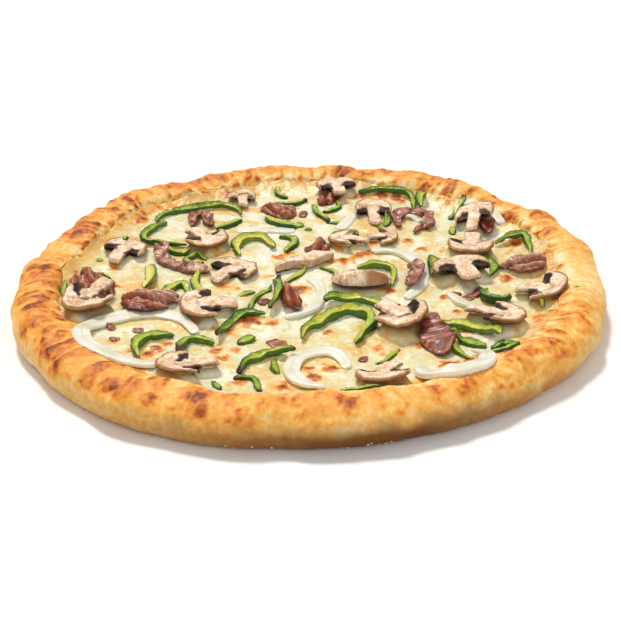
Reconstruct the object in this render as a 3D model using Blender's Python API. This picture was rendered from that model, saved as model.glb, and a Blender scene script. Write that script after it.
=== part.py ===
"""Pan pizza with its crust, a sheet of melted cheese and its toppings, each a closed solid.

Sizes are in millimetres, and a mesh is turned to metres when it is made. +Z is up, the base
rests on z = 0, +X is to the right and -Y is towards the viewer. Toppings are laid one after
another on a map of the heights that are already there, so each rests on what is under it.
"""

import math

import bmesh
import bpy
import numpy as np
from mathutils import Vector, noise
from mathutils.bvhtree import BVHTree

MM = 0.001
GAP = 0.35  # between pieces that touch

# Crust
RADIUS = 178.0  # a 14 inch pizza
STATIONS = 96  # round the rim
FLOOR = 9.0  # top of the dough under the cheese
SLOPE_TOP = 26.0  # where the even inner slope starts, inward from the outer edge
SLOPE_FOOT = 33.0
# Each row is a ring of the rim: inward from the outer edge, height, share of the relief.
RIM_PROFILE = (
    (11.0, 0.0, 0.0),
    (5.5, 1.0, 0.3),
    (1.8, 4.8, 0.8),
    (0.0, 10.5, 1.0),
    (1.3, 16.2, 1.0),
    (5.0, 21.0, 1.0),
    (11.0, 24.0, 1.0),
    (18.5, 24.6, 1.0),
    (SLOPE_TOP, 22.6, 0.7),
    (SLOPE_FOOT, 15.0, 0.3),
    (37.0, 11.0, 0.1),
    (42.0, FLOOR, 0.0),
)
# How far the uneven outline stands out from the round, by the angle round the rim.
OUTLINE = (
    (-180, 0.0), (-155, 2.5), (-130, 5.0), (-112, 3.5), (-92, -2.0), (-66, -4.5), (-45, -4.0),
    (-20, -0.5), (3, 0.0), (15, 2.5), (33, 4.0), (43, 1.0), (54, 4.0), (72, 0.5), (90, -1.0),
    (103, 2.5), (113, -3.5), (123, -2.5), (133, 2.5), (145, -1.0), (158, -5.0), (169, -4.0),
)
RELIEF = ((1.6, 24.0), (0.9, 13.0))  # height and width of the baked rim's lumps, and of its blisters
RELIEF_CREST = 12.0  # inward from the outer edge, where they stand straight up
RELIEF_TOP = 22.0  # the height from which they stand up in full

# Cheese
CHEESE_TOP = 15.2
CHEESE_SWELL = 1.0
CHEESE_SWELL_SIZE = 26.0
CHEESE_EDGE = 28.2  # inward from the outer edge of the crust
CHEESE_EDGE_WANDER = 1.4
CHEESE_EDGE_ROUND = 0.6  # how far its upper edge lies inside its lower one
CHEESE_LIP = 1.5  # thickness where it feathers out on the crust
CHEESE_RISE = 20.0  # width of the band in which it climbs to the rim
CHEESE_RINGS = (3.0, 7.0, 12.5, 20.0, 31.0, 45.0, 61.0, 79.0, 100.0, 125.0)

# Strips, such as a pepper ring's arc: width, height, then the points it runs through.
PEPPERS = {
    "pepper_1": (7.5, 6.0, ((-5, -78), (-2, -66), (9, -53), (24, -43), (34, -50), (33, -66), (25, -83))),
    "pepper_2": (5.0, 4.0, ((-101, 88), (-95, 98), (-82, 105), (-66, 112), (-52, 111), (-46, 99))),
    "pepper_3": (5.0, 4.8, ((-93, 86), (-103, 74), (-106, 60), (-99, 53), (-78, 50))),
    "pepper_4": (7.0, 4.8, ((-44, 36), (-47, 48), (-41, 60), (-30, 60), (-22, 47))),
    "pepper_5": (6.5, 4.8, ((-96, -101), (-97, -86), (-91, -75), (-77, -73))),
    "pepper_6": (5.5, 4.8, ((-73, -102), (-72, -88), (-67, -79), (-54, -84))),
    "pepper_7": (6.0, 4.8, ((-40, -119), (-34, -106), (-24, -98), (-8, -98))),
    "pepper_8": (5.5, 4.4, ((8, -34), (16, -28), (28, -27), (40, -35), (51, -49))),
    "pepper_9": (6.8, 4.8, ((73, -60), (89, -63), (101, -71), (106, -85))),
    "pepper_10": (6.0, 4.8, ((28, 15), (40, 19), (50, 14), (49, -8))),
    "pepper_11": (5.0, 4.8, ((-19, 6), (-20, -10), (-20, -28), (-23, -45))),
    "pepper_12": (5.0, 4.0, ((-26, -46), (-38, -46), (-47, -60), (-53, -80))),
    "pepper_13": (4.2, 4.0, ((32, 134), (48, 134), (62, 131), (68, 119), (68, 106))),
    "pepper_14": (4.6, 4.2, ((117, 52), (125, 58), (136, 55), (136, 33))),
    "pepper_15": (6.0, 4.4, ((107, 35), (112, 18), (109, 5))),
    "pepper_16": (6.0, 4.8, ((83, 23), (74, 18), (73, 2))),
    "pepper_17": (7.0, 4.8, ((73, 104), (73, 116), (76, 127))),
    "pepper_18": (9.0, 4.0, ((-100, 20), (-97, 4), (-99, -14))),
    "pepper_19": (8.0, 6.5, ((104, -14), (104, -28), (113, -33), (118, -24))),
}
# Small strips and scraps that are sunk into the cheese and are one with it.
SUNK = (
    (5.4, 4.0, ((75, -77), (87, -81), (98, -87))),
    (4.2, 4.0, ((100, -90), (108, -87), (113, -94), (108, -101), (100, -99))),
    (5.0, 4.4, ((-98, -16), (-90, -22), (-85, -10), (-77, -5), (-72, -18))),
    (5.4, 4.0, ((-68, 9), (-70, -2), (-66, -22))),
    (6.0, 4.2, ((-30, 96), (-21, 87), (-9, 79))),
    (6.0, 4.2, ((-61, 77), (-54, 83), (-45, 92))),
    (6.8, 4.6, ((13, 68), (31, 68))),
    (4.8, 4.0, ((-20, 65), (-10, 60), (-15, 43))),
    (4.4, 4.0, ((2, 117), (5, 102), (12, 87))),
    (4.0, 3.6, ((-23, 143), (-22, 136), (-15, 131))),
    (4.2, 3.6, ((-25, 121), (-12, 120), (-2, 127))),
    (6.5, 4.4, ((-41, -83), (-32, -73))),
    (4.0, 3.6, ((-124, 57), (-117, 60), (-117, 48))),
    (7.5, 3.4, ((27, 99), (23, 88), (18, 77))),
    (7.5, 3.8, ((-22, -76), (-15, -88))),
    (4.6, 4.4, ((91, 95), (98, 107))),
)
SUNK_DEPTH = 1.8

# Onion arcs: width, height, centre, radii, start angle and sweep.
ONIONS = {
    "onion_1": (7.5, 3.0, (-96, -78), (32, 32), 15, 300),
    "onion_2": (9.0, 3.0, (5, -114), (15, 21), 5, 275),
    "onion_3": (8.5, 3.0, (77, -109), (17.5, 19), 160, 250),
    "onion_4": (6.5, 3.0, (-20, -20), (27, 29), -80, 130),
    "onion_5": (9.0, 3.0, (44, 7), (24, 37), 105, -165),
    "onion_6": (7.0, 3.0, (113, -10), (32, 33), 190, 85),
}

# Ham lumps: centre, half length, half width, heading, how high its folds stand.
HAM_LUMPS = {
    "ham_1": ((-130, -9), 18, 13, 110, 7.0),
    "ham_2": ((-95, -35), 16, 12, -15, 6.0),
    "ham_3": ((-21, 106), 14, 10, -50, 6.0),
    "ham_4": ((11, 122), 9, 6.5, 80, 5.0),
    "ham_5": ((5, 46), 13, 7, 75, 6.5),
    "ham_6": ((-12, -30), 16, 6.5, 100, 6.0),
    "ham_7": ((131, 17), 13, 11, 20, 5.0),
}
# Ham folded into strips that stand on edge.
HAM_STRIPS = {
    "ham_8": (8.0, 5.0, ((-93, 45), (-91, 26), (-78, 16), (-61, 10))),
    "ham_9": (5.5, 5.5, ((-75, 80), (-75, 96), (-68, 99), (-65, 78))),
    "ham_10": (5.5, 5.5, ((57, 78), (58, 96), (77, 97), (75, 82), (66, 69))),
    "ham_11": (8.5, 5.5, ((66, -46), (68, -64), (74, -97))),
    "ham_12": (7.0, 5.5, ((63, 18), (64, 2), (58, -14))),
    "ham_13": (7.5, 6.0, ((114, 85), (112, 67))),
}

# Mushroom slices: centre, heading of the cap, cap width, length, lean towards the back.
MUSHROOMS = {
    "mushroom_1": ((-129, -37), -113, 27, 45, 0),
    "mushroom_2": ((-117, 38), 68, 27, 32, 0),
    "mushroom_3": ((-67, 53), -56, 28, 29, 0),
    "mushroom_4": ((-48, 10), 48, 30, 34, 0),
    "mushroom_5": ((-60, -41), 190, 36, 33, 0),
    "mushroom_6": ((-67, -118), 198, 29, 34, 0),
    "mushroom_7": ((39, -126), -106, 30, 33, 0),
    "mushroom_8": ((51, -60), -58, 31, 34, 0),
    "mushroom_9": ((106, -58), -25, 26, 36, 0),
    "mushroom_10": ((136, -24), -30, 30, 30, 0),
    "mushroom_11": ((92, 1), 105, 37, 30, 0),
    "mushroom_12": ((100, 42), -105, 30, 29, 0),
    "mushroom_13": ((105, 79), 82, 24, 33, 6),
    "mushroom_14": ((41, 100), 90, 24, 33, 4),
    "mushroom_15": ((18, 132), 105, 27, 20, 2),
    "mushroom_16": ((-45, 121), 92, 19, 22, 2),
    "mushroom_17": ((46, 61), 0, 24, 19, 0),
    "mushroom_18": ((24, 53), 170, 19, 26, 0),
}
SLICE_THICKNESS = 4.8
LUMP_CORNERS = 14  # round the outline of a lump
# A slice seen on edge, and the round half of a cap.
EDGE_SLICE = ("mushroom_19", 7.5, 7.0, ((-22, 13), (-4, 22), (14, 33)))
HALF_CAP = ("mushroom_20", (30, -8), 17, 12, 0, 9.5)

COLOURS = {
    "crust": (0.62, 0.33, 0.10),
    "cheese": (0.86, 0.74, 0.48),
    "pepper": (0.30, 0.40, 0.05),
    "onion": (0.88, 0.87, 0.76),
    "ham": (0.24, 0.06, 0.05),
    "mushroom": (0.62, 0.42, 0.29),
}
ROUGHNESS = {"crust": 0.6, "cheese": 0.4, "pepper": 0.3, "onion": 0.25, "ham": 0.4, "mushroom": 0.5}

STRIP_STEP = 7.0  # most that two sections of a strip lie apart
MOST_TIP = 0.3  # steepest sideways slope of a strip
MOST_SLOPE = 0.3  # steepest slope of a slice or a lump
MARGIN = 1.0  # round a piece's outline, in which it stays clear of what is under it
FOLD_SPACING = 11.0  # between the folds of a lump of ham
MAP_REACH = 190
MAP_STEP = 1.0
MAP_OVER = 100.0  # a height above all pieces


def wave(x, y, z, size, seed=0.0):
    """Smooth noise from about -1 to 1, whose bumps are about `size` across."""
    return 1.6 * noise.noise(Vector((x / size + seed, y / size - seed, z / size)))


def outline_offset(degrees):
    """The outline's offset at an angle: an eased curve through the rows of OUTLINE."""
    angles = [row[0] for row in OUTLINE] + [OUTLINE[0][0] + 360]
    offsets = [row[1] for row in OUTLINE] + [OUTLINE[0][1]]
    at = (degrees + 180) % 360 - 180
    here = max(i for i, angle in enumerate(angles) if angle <= at)
    part = (at - angles[here]) / (angles[here + 1] - angles[here])
    eased = (1 - math.cos(math.pi * part)) / 2
    return offsets[here] + (offsets[here + 1] - offsets[here]) * eased


def station_angle(station):
    return 2 * math.pi * station / STATIONS


def outer_radius(station):
    return RADIUS + outline_offset(math.degrees(station_angle(station)))


def rim_point(station, inward, height, share):
    """A point of the rim ring, with its lump of relief along the way out of the rim."""
    angle = station_angle(station)
    radius = outer_radius(station) - inward
    x, y = radius * math.cos(angle), radius * math.sin(angle)
    lump = share * sum(rise * wave(x, y, height, size) for rise, size in RELIEF)
    out = max(-1.0, 1 - inward / RELIEF_CREST)
    up = min(1.0, height / RELIEF_TOP)
    radius += lump * out
    return Vector((radius * math.cos(angle), radius * math.sin(angle), height + lump * up))


def slope_point(station, inward):
    """A point of the even inner slope of the rim, between its two rings."""
    top, foot = (row for row in RIM_PROFILE if row[0] in (SLOPE_TOP, SLOPE_FOOT))
    part = (inward - SLOPE_TOP) / (SLOPE_FOOT - SLOPE_TOP)
    return rim_point(station, *top).lerp(rim_point(station, *foot), part)


def ring_mesh(rings, close_first, close_last):
    """A bmesh of rings, each quad split the same way. A ring of one point is the tip of a fan."""
    mesh = bmesh.new()
    made = [[mesh.verts.new(point) for point in ring] for ring in rings]
    for first, second in zip(made, made[1:]):
        count = max(len(first), len(second))
        for i in range(count):
            j = (i + 1) % count
            if len(first) > 1:
                mesh.faces.new((first[i], first[j], second[j % len(second)]))
            if len(second) > 1:
                mesh.faces.new((first[i % len(first)], second[j], second[i]))
    if close_first:
        mesh.faces.new(made[0][::-1])
    if close_last:
        mesh.faces.new(made[-1])
    return mesh


def add_object(name, mesh, kind, parent, centre=(0, 0, 0)):
    """Makes an object of a bmesh in millimetres, with its origin at `centre`."""
    bmesh.ops.recalc_face_normals(mesh, faces=mesh.faces)
    bmesh.ops.triangulate(mesh, faces=mesh.faces)
    bmesh.ops.translate(mesh, verts=mesh.verts, vec=-Vector(centre))
    bmesh.ops.scale(mesh, verts=mesh.verts, vec=(MM, MM, MM))
    data = bpy.data.meshes.new(name)
    mesh.to_mesh(data)
    mesh.free()
    data.materials.append(material(kind))
    data.shade_smooth()
    data.set_sharp_from_angle(angle=math.radians(40))
    made = bpy.data.objects.new(name, data)
    made.location = Vector(centre) * MM
    made.parent = parent
    bpy.context.collection.objects.link(made)
    return made


def material(kind):
    found = bpy.data.materials.get(kind)
    if found:
        return found
    made = bpy.data.materials.new(kind)
    made.use_nodes = True
    shader = made.node_tree.nodes["Principled BSDF"]
    shader.inputs["Base Color"].default_value = (*COLOURS[kind], 1)
    shader.inputs["Roughness"].default_value = ROUGHNESS[kind]
    shader.inputs["Metallic"].default_value = 0.0
    return made


class HeightMap:
    """The highest surface so far over each spot of the pizza."""

    def __init__(self):
        self.axis = np.arange(-MAP_REACH, MAP_REACH + MAP_STEP, MAP_STEP)
        self.heights = np.zeros((len(self.axis), len(self.axis)))

    def cell(self, value):
        return int(round((value + MAP_REACH) / MAP_STEP))

    def add(self, made):
        """Raises the map to an object's upper surface."""
        mesh = bmesh.new()
        mesh.from_mesh(made.data)
        bmesh.ops.scale(mesh, verts=mesh.verts, vec=(1 / MM,) * 3)
        bmesh.ops.translate(mesh, verts=mesh.verts, vec=made.location / MM)
        tree = BVHTree.FromBMesh(mesh)
        corners = np.array([vertex.co for vertex in mesh.verts])
        mesh.free()
        low = [self.cell(value) for value in corners.min(axis=0)[:2]]
        high = [self.cell(value) + 1 for value in corners.max(axis=0)[:2]]
        down = Vector((0, 0, -1))
        for i in range(low[0], high[0]):
            for j in range(low[1], high[1]):
                hit = tree.ray_cast(Vector((self.axis[i], self.axis[j], MAP_OVER)), down)[0]
                if hit:
                    self.heights[i, j] = max(self.heights[i, j], hit.z)
        for x, y, z in corners:
            i, j = self.cell(x), self.cell(y)
            self.heights[i, j] = max(self.heights[i, j], z)

    def highest(self, x, y, reach):
        """The highest spot within `reach` of a point."""
        low_x, high_x = self.cell(x - reach), self.cell(x + reach) + 1
        low_y, high_y = self.cell(y - reach), self.cell(y + reach) + 1
        near = self.heights[low_x:high_x, low_y:high_y]
        away = np.hypot(self.axis[low_x:high_x, None] - x, self.axis[None, low_y:high_y] - y)
        return near[away <= reach].max()

    def under(self, outline, reach):
        """The places and heights of the cells inside an outline or within `reach` of its edge."""
        points = np.array(outline)
        low, high = points.min(axis=0) - reach, points.max(axis=0) + reach
        spots_x, spots_y = np.meshgrid(
            self.axis[self.cell(low[0]):self.cell(high[0]) + 1],
            self.axis[self.cell(low[1]):self.cell(high[1]) + 1],
            indexing="ij",
        )
        inside = np.zeros(spots_x.shape, bool)
        near = np.full(spots_x.shape, np.inf)
        for (ax, ay), (bx, by) in zip(points, np.roll(points, -1, axis=0)):
            crosses = (ay > spots_y) != (by > spots_y)
            with np.errstate(divide="ignore", invalid="ignore"):
                inside ^= crosses & (spots_x < (bx - ax) * (spots_y - ay) / (by - ay) + ax)
            length = (bx - ax) ** 2 + (by - ay) ** 2
            along = ((spots_x - ax) * (bx - ax) + (spots_y - ay) * (by - ay)) / length
            along = np.clip(along, 0, 1)
            away = np.hypot(spots_x - ax - along * (bx - ax), spots_y - ay - along * (by - ay))
            near = np.minimum(near, away)
        chosen = inside | (near <= reach)
        rows = np.rint((spots_x[chosen] + MAP_REACH) / MAP_STEP).astype(int)
        columns = np.rint((spots_y[chosen] + MAP_REACH) / MAP_STEP).astype(int)
        return spots_x[chosen], spots_y[chosen], self.heights[rows, columns]


def rim_rings(rows):
    return [[rim_point(station, *row) for station in range(STATIONS)] for row in rows]


def edge_ring(further=0.0):
    """The ring on the rim's inner slope at which the cheese ends, or one that far inside it."""
    return [
        slope_point(station, cheese_edge(station_angle(station)) + further)
        for station in range(STATIONS)
    ]


def crust_mesh():
    """The dough: a flat base, a round rim all the way, and a level floor inside it."""
    outer = [row for row in RIM_PROFILE if row[0] < SLOPE_FOOT]
    inner = [row for row in RIM_PROFILE if row[0] >= SLOPE_FOOT]
    rings = [*rim_rings(outer), edge_ring(), *rim_rings(inner)]
    return ring_mesh(rings, close_first=True, close_last=True)


def cheese_height(x, y):
    big = wave(x, y, 3.0, CHEESE_SWELL_SIZE, seed=7.3)
    small = wave(x, y, 9.0, CHEESE_SWELL_SIZE / 2.2, seed=2.1)
    return CHEESE_TOP + CHEESE_SWELL * (0.7 * big + 0.35 * small)


def cheese_edge(angle):
    """How far in from the crust's outer edge the cheese ends, which wanders round the pizza."""
    x, y = RADIUS * math.cos(angle), RADIUS * math.sin(angle)
    return CHEESE_EDGE + CHEESE_EDGE_WANDER * wave(x, y, 0, 34.0, seed=4.0)


def cheese_mesh():
    """Melted cheese: its underside lies along the dough, and it feathers out on the rim's slope."""
    lift = Vector((0, 0, GAP))
    lip = Vector((0, 0, GAP + CHEESE_LIP))
    inner = [row for row in RIM_PROFILE if row[0] >= SLOPE_FOOT]
    below = [[point + lift for point in ring] for ring in [edge_ring(), *rim_rings(inner)]]
    edge_high = [point + lip for point in edge_ring(CHEESE_EDGE_ROUND)]
    above = []
    for step in CHEESE_RINGS:
        ring = []
        for i in range(STATIONS):
            angle = station_angle(i)
            radius = outer_radius(i) - cheese_edge(angle) - step
            x, y = radius * math.cos(angle), radius * math.sin(angle)
            climb = max(0.0, 1 - step / CHEESE_RISE) ** 2
            level = cheese_height(x, y)
            ring.append(Vector((x, y, level + climb * (edge_high[i].z - level))))
        above.append(ring)
    top = [Vector((0, 0, cheese_height(0, 0)))]
    rings = [top, *above[::-1], edge_high, *below]
    return ring_mesh(rings, close_first=False, close_last=True)


def smooth_path(points, step):
    """Points at even steps along a Catmull-Rom curve through the given ones."""
    given = np.array(points, float)
    padded = np.vstack([2 * given[0] - given[1], given, 2 * given[-1] - given[-2]])
    fine = []
    part = np.linspace(0, 1, 24, endpoint=False)[:, None]
    for before, start, end, after in zip(padded, padded[1:], padded[2:], padded[3:]):
        fine.append(
            0.5 * (2 * start + (end - before) * part
                   + (2 * before - 5 * start + 4 * end - after) * part**2
                   + (3 * start - before - 3 * end + after) * part**3)
        )
    fine = np.vstack([*fine, given[-1:]])
    return even_steps(fine, step)


def arc_path(centre, radii, start, sweep, step):
    """Points at even steps along an ellipse's arc, with a slight wobble of its radius."""
    angles = np.radians(start + sweep * np.linspace(0, 1, 90))
    wobble = 1 + 0.03 * np.sin(3 * angles + centre[0])
    points = np.stack([
        centre[0] + radii[0] * wobble * np.cos(angles),
        centre[1] + radii[1] * wobble * np.sin(angles),
    ], axis=1)
    return even_steps(points, step)


def even_steps(fine, step):
    travelled = np.concatenate([[0], np.cumsum(np.linalg.norm(np.diff(fine, axis=0), axis=1))])
    count = max(3, int(math.ceil(travelled[-1] / step)) + 1)
    wanted = np.linspace(0, travelled[-1], count)
    return np.stack([np.interp(wanted, travelled, fine[:, axis]) for axis in (0, 1)], axis=1)


def sideways(path):
    """The unit direction across a path, to its left, at each of its points."""
    ahead = np.gradient(path, axis=0)
    ahead /= np.linalg.norm(ahead, axis=1)[:, None]
    return np.stack([-ahead[:, 1], ahead[:, 0]], axis=1)


def strip_mesh(path, width, height, bottoms, tips):
    """A six-sided bar along a path, slimmer at its ends, its underside at `bottoms`.

    `tips` is how steeply each section rises to its left.
    """
    side = sideways(path)
    along = np.linspace(-1, 1, len(path))
    slim = 1 - 0.3 * np.abs(along) ** 4
    # Across and up for each corner, as shares of the half width and the height.
    section = ((-0.72, 0.0), (0.72, 0.0), (1.0, 0.5), (0.7, 1.0), (-0.7, 1.0), (-1.0, 0.5))
    rings = [
        [
            Vector((
                *(path[i] + side[i] * across * slim[i] * width / 2),
                bottoms[i] + tips[i] * across * slim[i] * width / 2 + up * height * slim[i],
            ))
            for across, up in section
        ]
        for i in range(len(path))
    ]
    return ring_mesh(rings, close_first=True, close_last=True)


def lay_strip(ground, name, width, height, path, kind, parent):
    """Lays a strip over what is under it, tipped sideways a little where that slopes."""
    side = sideways(path)
    bottoms, tips = [], []
    for i, point in enumerate(path):
        near = path[max(0, i - 1):i + 2]
        x, y, heights = ground.under(near, width / 2 + MARGIN)
        across = (x - point[0]) * side[i, 0] + (y - point[1]) * side[i, 1]
        tip = float(np.clip(np.polyfit(across, heights, 1)[0], -MOST_TIP, MOST_TIP))
        tips.append(tip)
        bottoms.append(float((heights - tip * across).max()) + GAP)
    centre = (float(path[:, 0].mean()), float(path[:, 1].mean()), sum(bottoms) / len(bottoms))
    mesh = strip_mesh(path, width, height, bottoms, tips)
    ground.add(add_object(name, mesh, kind, parent, centre))


def slab_mesh(outline, middle, levels):
    """Rings of one outline, each drawn towards `middle` by its share, at its own heights."""
    rings = []
    for share, height_at in levels:
        ring = []
        for x, y in outline:
            px, py = middle[0] + (x - middle[0]) * share, middle[1] + (y - middle[1]) * share
            ring.append(Vector((px, py, height_at(px, py))))
        rings.append(ring)
    return rings


def resting_plane(ground, outline, lean):
    """A plane just over all under an outline: its height at the origin and its slopes in x and y."""
    x, y, heights = ground.under(outline, MARGIN)
    table = np.stack([np.ones_like(x), x, y], axis=1)
    slopes = np.linalg.lstsq(table, heights, rcond=None)[0][1:]
    slopes = np.clip(slopes, -MOST_SLOPE, MOST_SLOPE) + np.array([0.0, math.tan(math.radians(lean))])
    base = (heights - slopes[0] * x - slopes[1] * y).max() + GAP
    return base, slopes[0], slopes[1]


def slice_outline(centre, heading, width, length):
    """A mushroom cut down its middle: a round cap, rolled edges, a notch at the gills and a stem."""
    half = width / 2
    brim = 0.02 * length
    stem = 0.2 * width
    foot = -0.5 * length
    cap = [
        (half * math.cos(angle), brim + (0.5 * length - brim) * max(0.0, math.sin(angle)) ** 0.85)
        for angle in (math.pi * k / 8 for k in range(9))
    ]
    under = [
        (0.86 * half, brim - 0.14 * length),
        (0.58 * half, brim - 0.07 * length),
        (1.05 * stem, brim - 0.10 * length),
        (0.92 * stem, 0.6 * foot),
        (0.8 * stem, foot),
    ]
    local = cap + [(-u, v) for u, v in under] + [(u, v) for u, v in under[::-1]]
    turn = math.radians(heading - 90)
    placed = []
    for u, v in local:
        x, y = u * math.cos(turn) - v * math.sin(turn), u * math.sin(turn) + v * math.cos(turn)
        swell = 1 + 0.05 * wave(x, y, centre[0], 14.0)
        placed.append((centre[0] + x * swell, centre[1] + y * swell))
    return placed


def lay_slice(ground, name, centre, heading, width, length, lean, parent):
    """Lays a flat mushroom slice with softened edges."""
    outline = slice_outline(centre, heading, width, length)
    base, slope_x, slope_y = resting_plane(ground, outline, lean)

    def level(rise):
        return lambda x, y: base + slope_x * x + slope_y * y + rise

    levels = ((0.97, level(0)), (1.0, level(0.5 * SLICE_THICKNESS)), (0.94, level(SLICE_THICKNESS)))
    mesh = ring_mesh(slab_mesh(outline, centre, levels), close_first=True, close_last=True)
    made = add_object(name, mesh, "mushroom", parent, (*centre, level(0)(*centre)))
    ground.add(made)


def lump_outline(centre, half_length, half_width, heading, unevenness):
    """An oval whose edge wanders in and out by a share of its size."""
    turn = math.radians(heading)
    placed = []
    for k in range(LUMP_CORNERS):
        angle = 2 * math.pi * k / LUMP_CORNERS
        u, v = half_length * math.cos(angle), half_width * math.sin(angle)
        swell = 1 + unevenness * wave(3 * math.cos(angle), 3 * math.sin(angle), centre[0], 2.4)
        placed.append((
            centre[0] + swell * (u * math.cos(turn) - v * math.sin(turn)),
            centre[1] + swell * (u * math.sin(turn) + v * math.cos(turn)),
        ))
    return placed


def lay_lump(ground, name, centre, half_length, half_width, heading, rise, folds, kind, parent):
    """Lays a lump with a flat underside, thin at its edge, whose top is domed or thrown into folds."""
    unevenness = 0.28 if folds else 0.04
    outline = lump_outline(centre, half_length, half_width, heading, unevenness)
    base, slope_x, slope_y = resting_plane(ground, outline, 0)
    turn = math.radians(heading)

    def level(share):
        def height(x, y):
            plane = base + slope_x * x + slope_y * y
            if not folds:
                return plane + share * rise
            across = -(x - centre[0]) * math.sin(turn) + (y - centre[1]) * math.cos(turn)
            fold = 0.5 + 0.5 * math.cos(across * 2 * math.pi / FOLD_SPACING + wave(x, y, 0, 18.0))
            return plane + share * rise * (0.35 + 0.65 * fold)
        return height

    levels = (
        (0.95, level(0)), (1.0, level(0.25)), (0.93, level(0.6)), (0.68, level(0.88)),
        (0.36, level(0.98)), (0.0, level(1.0)),
    )
    rings = slab_mesh(outline, centre, levels)
    rings[-1] = rings[-1][:1]
    mesh = ring_mesh(rings, close_first=True, close_last=False)
    made = add_object(name, mesh, kind, parent, (*centre, level(0)(*centre)))
    ground.add(made)


def add_sunk_strips(cheese, dough):
    """Joins the small strips to the cheese by one union, clear of the dough under it."""
    ground = HeightMap()
    ground.add(cheese)
    helpers = bpy.data.collections.new("sunk_strips")
    bpy.context.scene.collection.children.link(helpers)
    for number, (width, height, points) in enumerate(SUNK):
        path = smooth_path(points, STRIP_STEP)
        bottoms = np.array([
            max(ground.highest(x, y, MARGIN) - SUNK_DEPTH, dough.highest(x, y, STRIP_STEP / 2 + MARGIN) + GAP)
            for x, y in path
        ])
        mesh = strip_mesh(path, width, height, bottoms, 0 * bottoms)
        strip = add_object(f"sunk_{number}", mesh, "pepper", None)
        bpy.context.collection.objects.unlink(strip)
        helpers.objects.link(strip)
    union = cheese.modifiers.new("strips", "BOOLEAN")
    union.operation = "UNION"
    union.operand_type = "COLLECTION"
    union.collection = helpers
    bpy.context.view_layer.update()
    joined = cheese.evaluated_get(bpy.context.evaluated_depsgraph_get())
    mesh = bpy.data.meshes.new_from_object(joined)
    cheese.modifiers.clear()
    cheese.data = mesh
    for strip in list(helpers.objects):
        bpy.data.objects.remove(strip)
    bpy.data.collections.remove(helpers)


def main():
    for old in list(bpy.data.objects):
        bpy.data.objects.remove(old)
    pizza = bpy.data.objects.new("pizza", None)
    bpy.context.collection.objects.link(pizza)

    crust = add_object("crust", crust_mesh(), "crust", pizza)
    cheese = add_object("cheese", cheese_mesh(), "cheese", pizza)
    ground = HeightMap()
    ground.add(crust)
    add_sunk_strips(cheese, ground)
    ground.add(cheese)

    for name, (width, height, centre, radii, start, sweep) in ONIONS.items():
        path = arc_path(centre, radii, start, sweep, STRIP_STEP + 1)
        lay_strip(ground, name, width, height, path, "onion", pizza)
    last_pepper = "pepper_11"
    for name, (width, height, points) in PEPPERS.items():
        if name != last_pepper:
            lay_strip(ground, name, width, height, smooth_path(points, STRIP_STEP), "pepper", pizza)
    for name, (centre, half_length, half_width, heading, rise) in HAM_LUMPS.items():
        lay_lump(ground, name, centre, half_length, half_width, heading, rise, True, "ham", pizza)
    for name, (width, height, points) in HAM_STRIPS.items():
        lay_strip(ground, name, width, height, smooth_path(points, STRIP_STEP), "ham", pizza)
    for name, (centre, heading, width, length, lean) in MUSHROOMS.items():
        lay_slice(ground, name, centre, heading, width, length, lean, pizza)
    name, width, height, points = EDGE_SLICE
    lay_strip(ground, name, width, height, smooth_path(points, STRIP_STEP), "mushroom", pizza)
    name, centre, half_length, half_width, heading, rise = HALF_CAP
    lay_lump(ground, name, centre, half_length, half_width, heading, rise, False, "mushroom", pizza)
    width, height, points = PEPPERS[last_pepper]
    lay_strip(ground, last_pepper, width, height, smooth_path(points, STRIP_STEP), "pepper", pizza)


main()
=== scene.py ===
"""A pan pizza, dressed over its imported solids: baked dough, melted cheese, and toppings of
pepper, onion, mushroom and ham.

Every piece is a surface worked out as whole arrays in millimetres, and turned to metres when its
mesh is made. Each reads its place and heights from the solid that it replaces. +Z is up, +X is to
the right and -Y is towards the viewer.
"""

import math
from collections import namedtuple

import bpy
import numpy as np
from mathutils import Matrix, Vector


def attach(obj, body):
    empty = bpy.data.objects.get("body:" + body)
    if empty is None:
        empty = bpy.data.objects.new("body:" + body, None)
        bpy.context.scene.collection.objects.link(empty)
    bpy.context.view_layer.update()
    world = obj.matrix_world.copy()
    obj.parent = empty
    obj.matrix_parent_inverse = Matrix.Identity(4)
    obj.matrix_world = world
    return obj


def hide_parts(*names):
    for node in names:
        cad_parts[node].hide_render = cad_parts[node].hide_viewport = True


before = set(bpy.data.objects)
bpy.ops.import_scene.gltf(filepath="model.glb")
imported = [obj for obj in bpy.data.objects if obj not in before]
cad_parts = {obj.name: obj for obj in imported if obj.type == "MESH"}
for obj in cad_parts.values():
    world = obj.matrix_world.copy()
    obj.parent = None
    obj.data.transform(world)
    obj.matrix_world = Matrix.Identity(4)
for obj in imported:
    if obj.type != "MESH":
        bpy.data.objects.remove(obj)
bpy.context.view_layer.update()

MM = 0.001
TAU = 2 * math.pi

# Camera, from the proportions of the pizza in the picture
CAMERA_ELEVATION = 26.54
CAMERA_DISTANCE = 1036.0
CAMERA_AIM = (-0.1, 0.0, -3.9)
CAMERA_LENS = 98.5
CAMERA_SENSOR = 36.0

# Crust, whose solid has 13 rings of 96 corners
STATIONS = 96
PROFILE_MIDDLE = (14.0, 12.0)  # inward from the outer edge, and height
PROFILE_STEPS = (5, 5, 6, 6, 6, 7, 8, 8, 4, 6, 2, 1)  # rows between one ring of the solid and the next
AROUND = 1200
RIM_RADIUS = 165.0
BLISTERS_AROUND = 104
BLISTER_LENGTH = 6.8
LUMP_HEIGHT = 0.8
CREASE_DEPTH = 0.6
PORE_HEIGHT = 0.15
BLISTER_HEIGHT = 0.8
SMALL_BLISTER_HEIGHT = 0.35
SPOT_HEIGHT = 0.5

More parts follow.
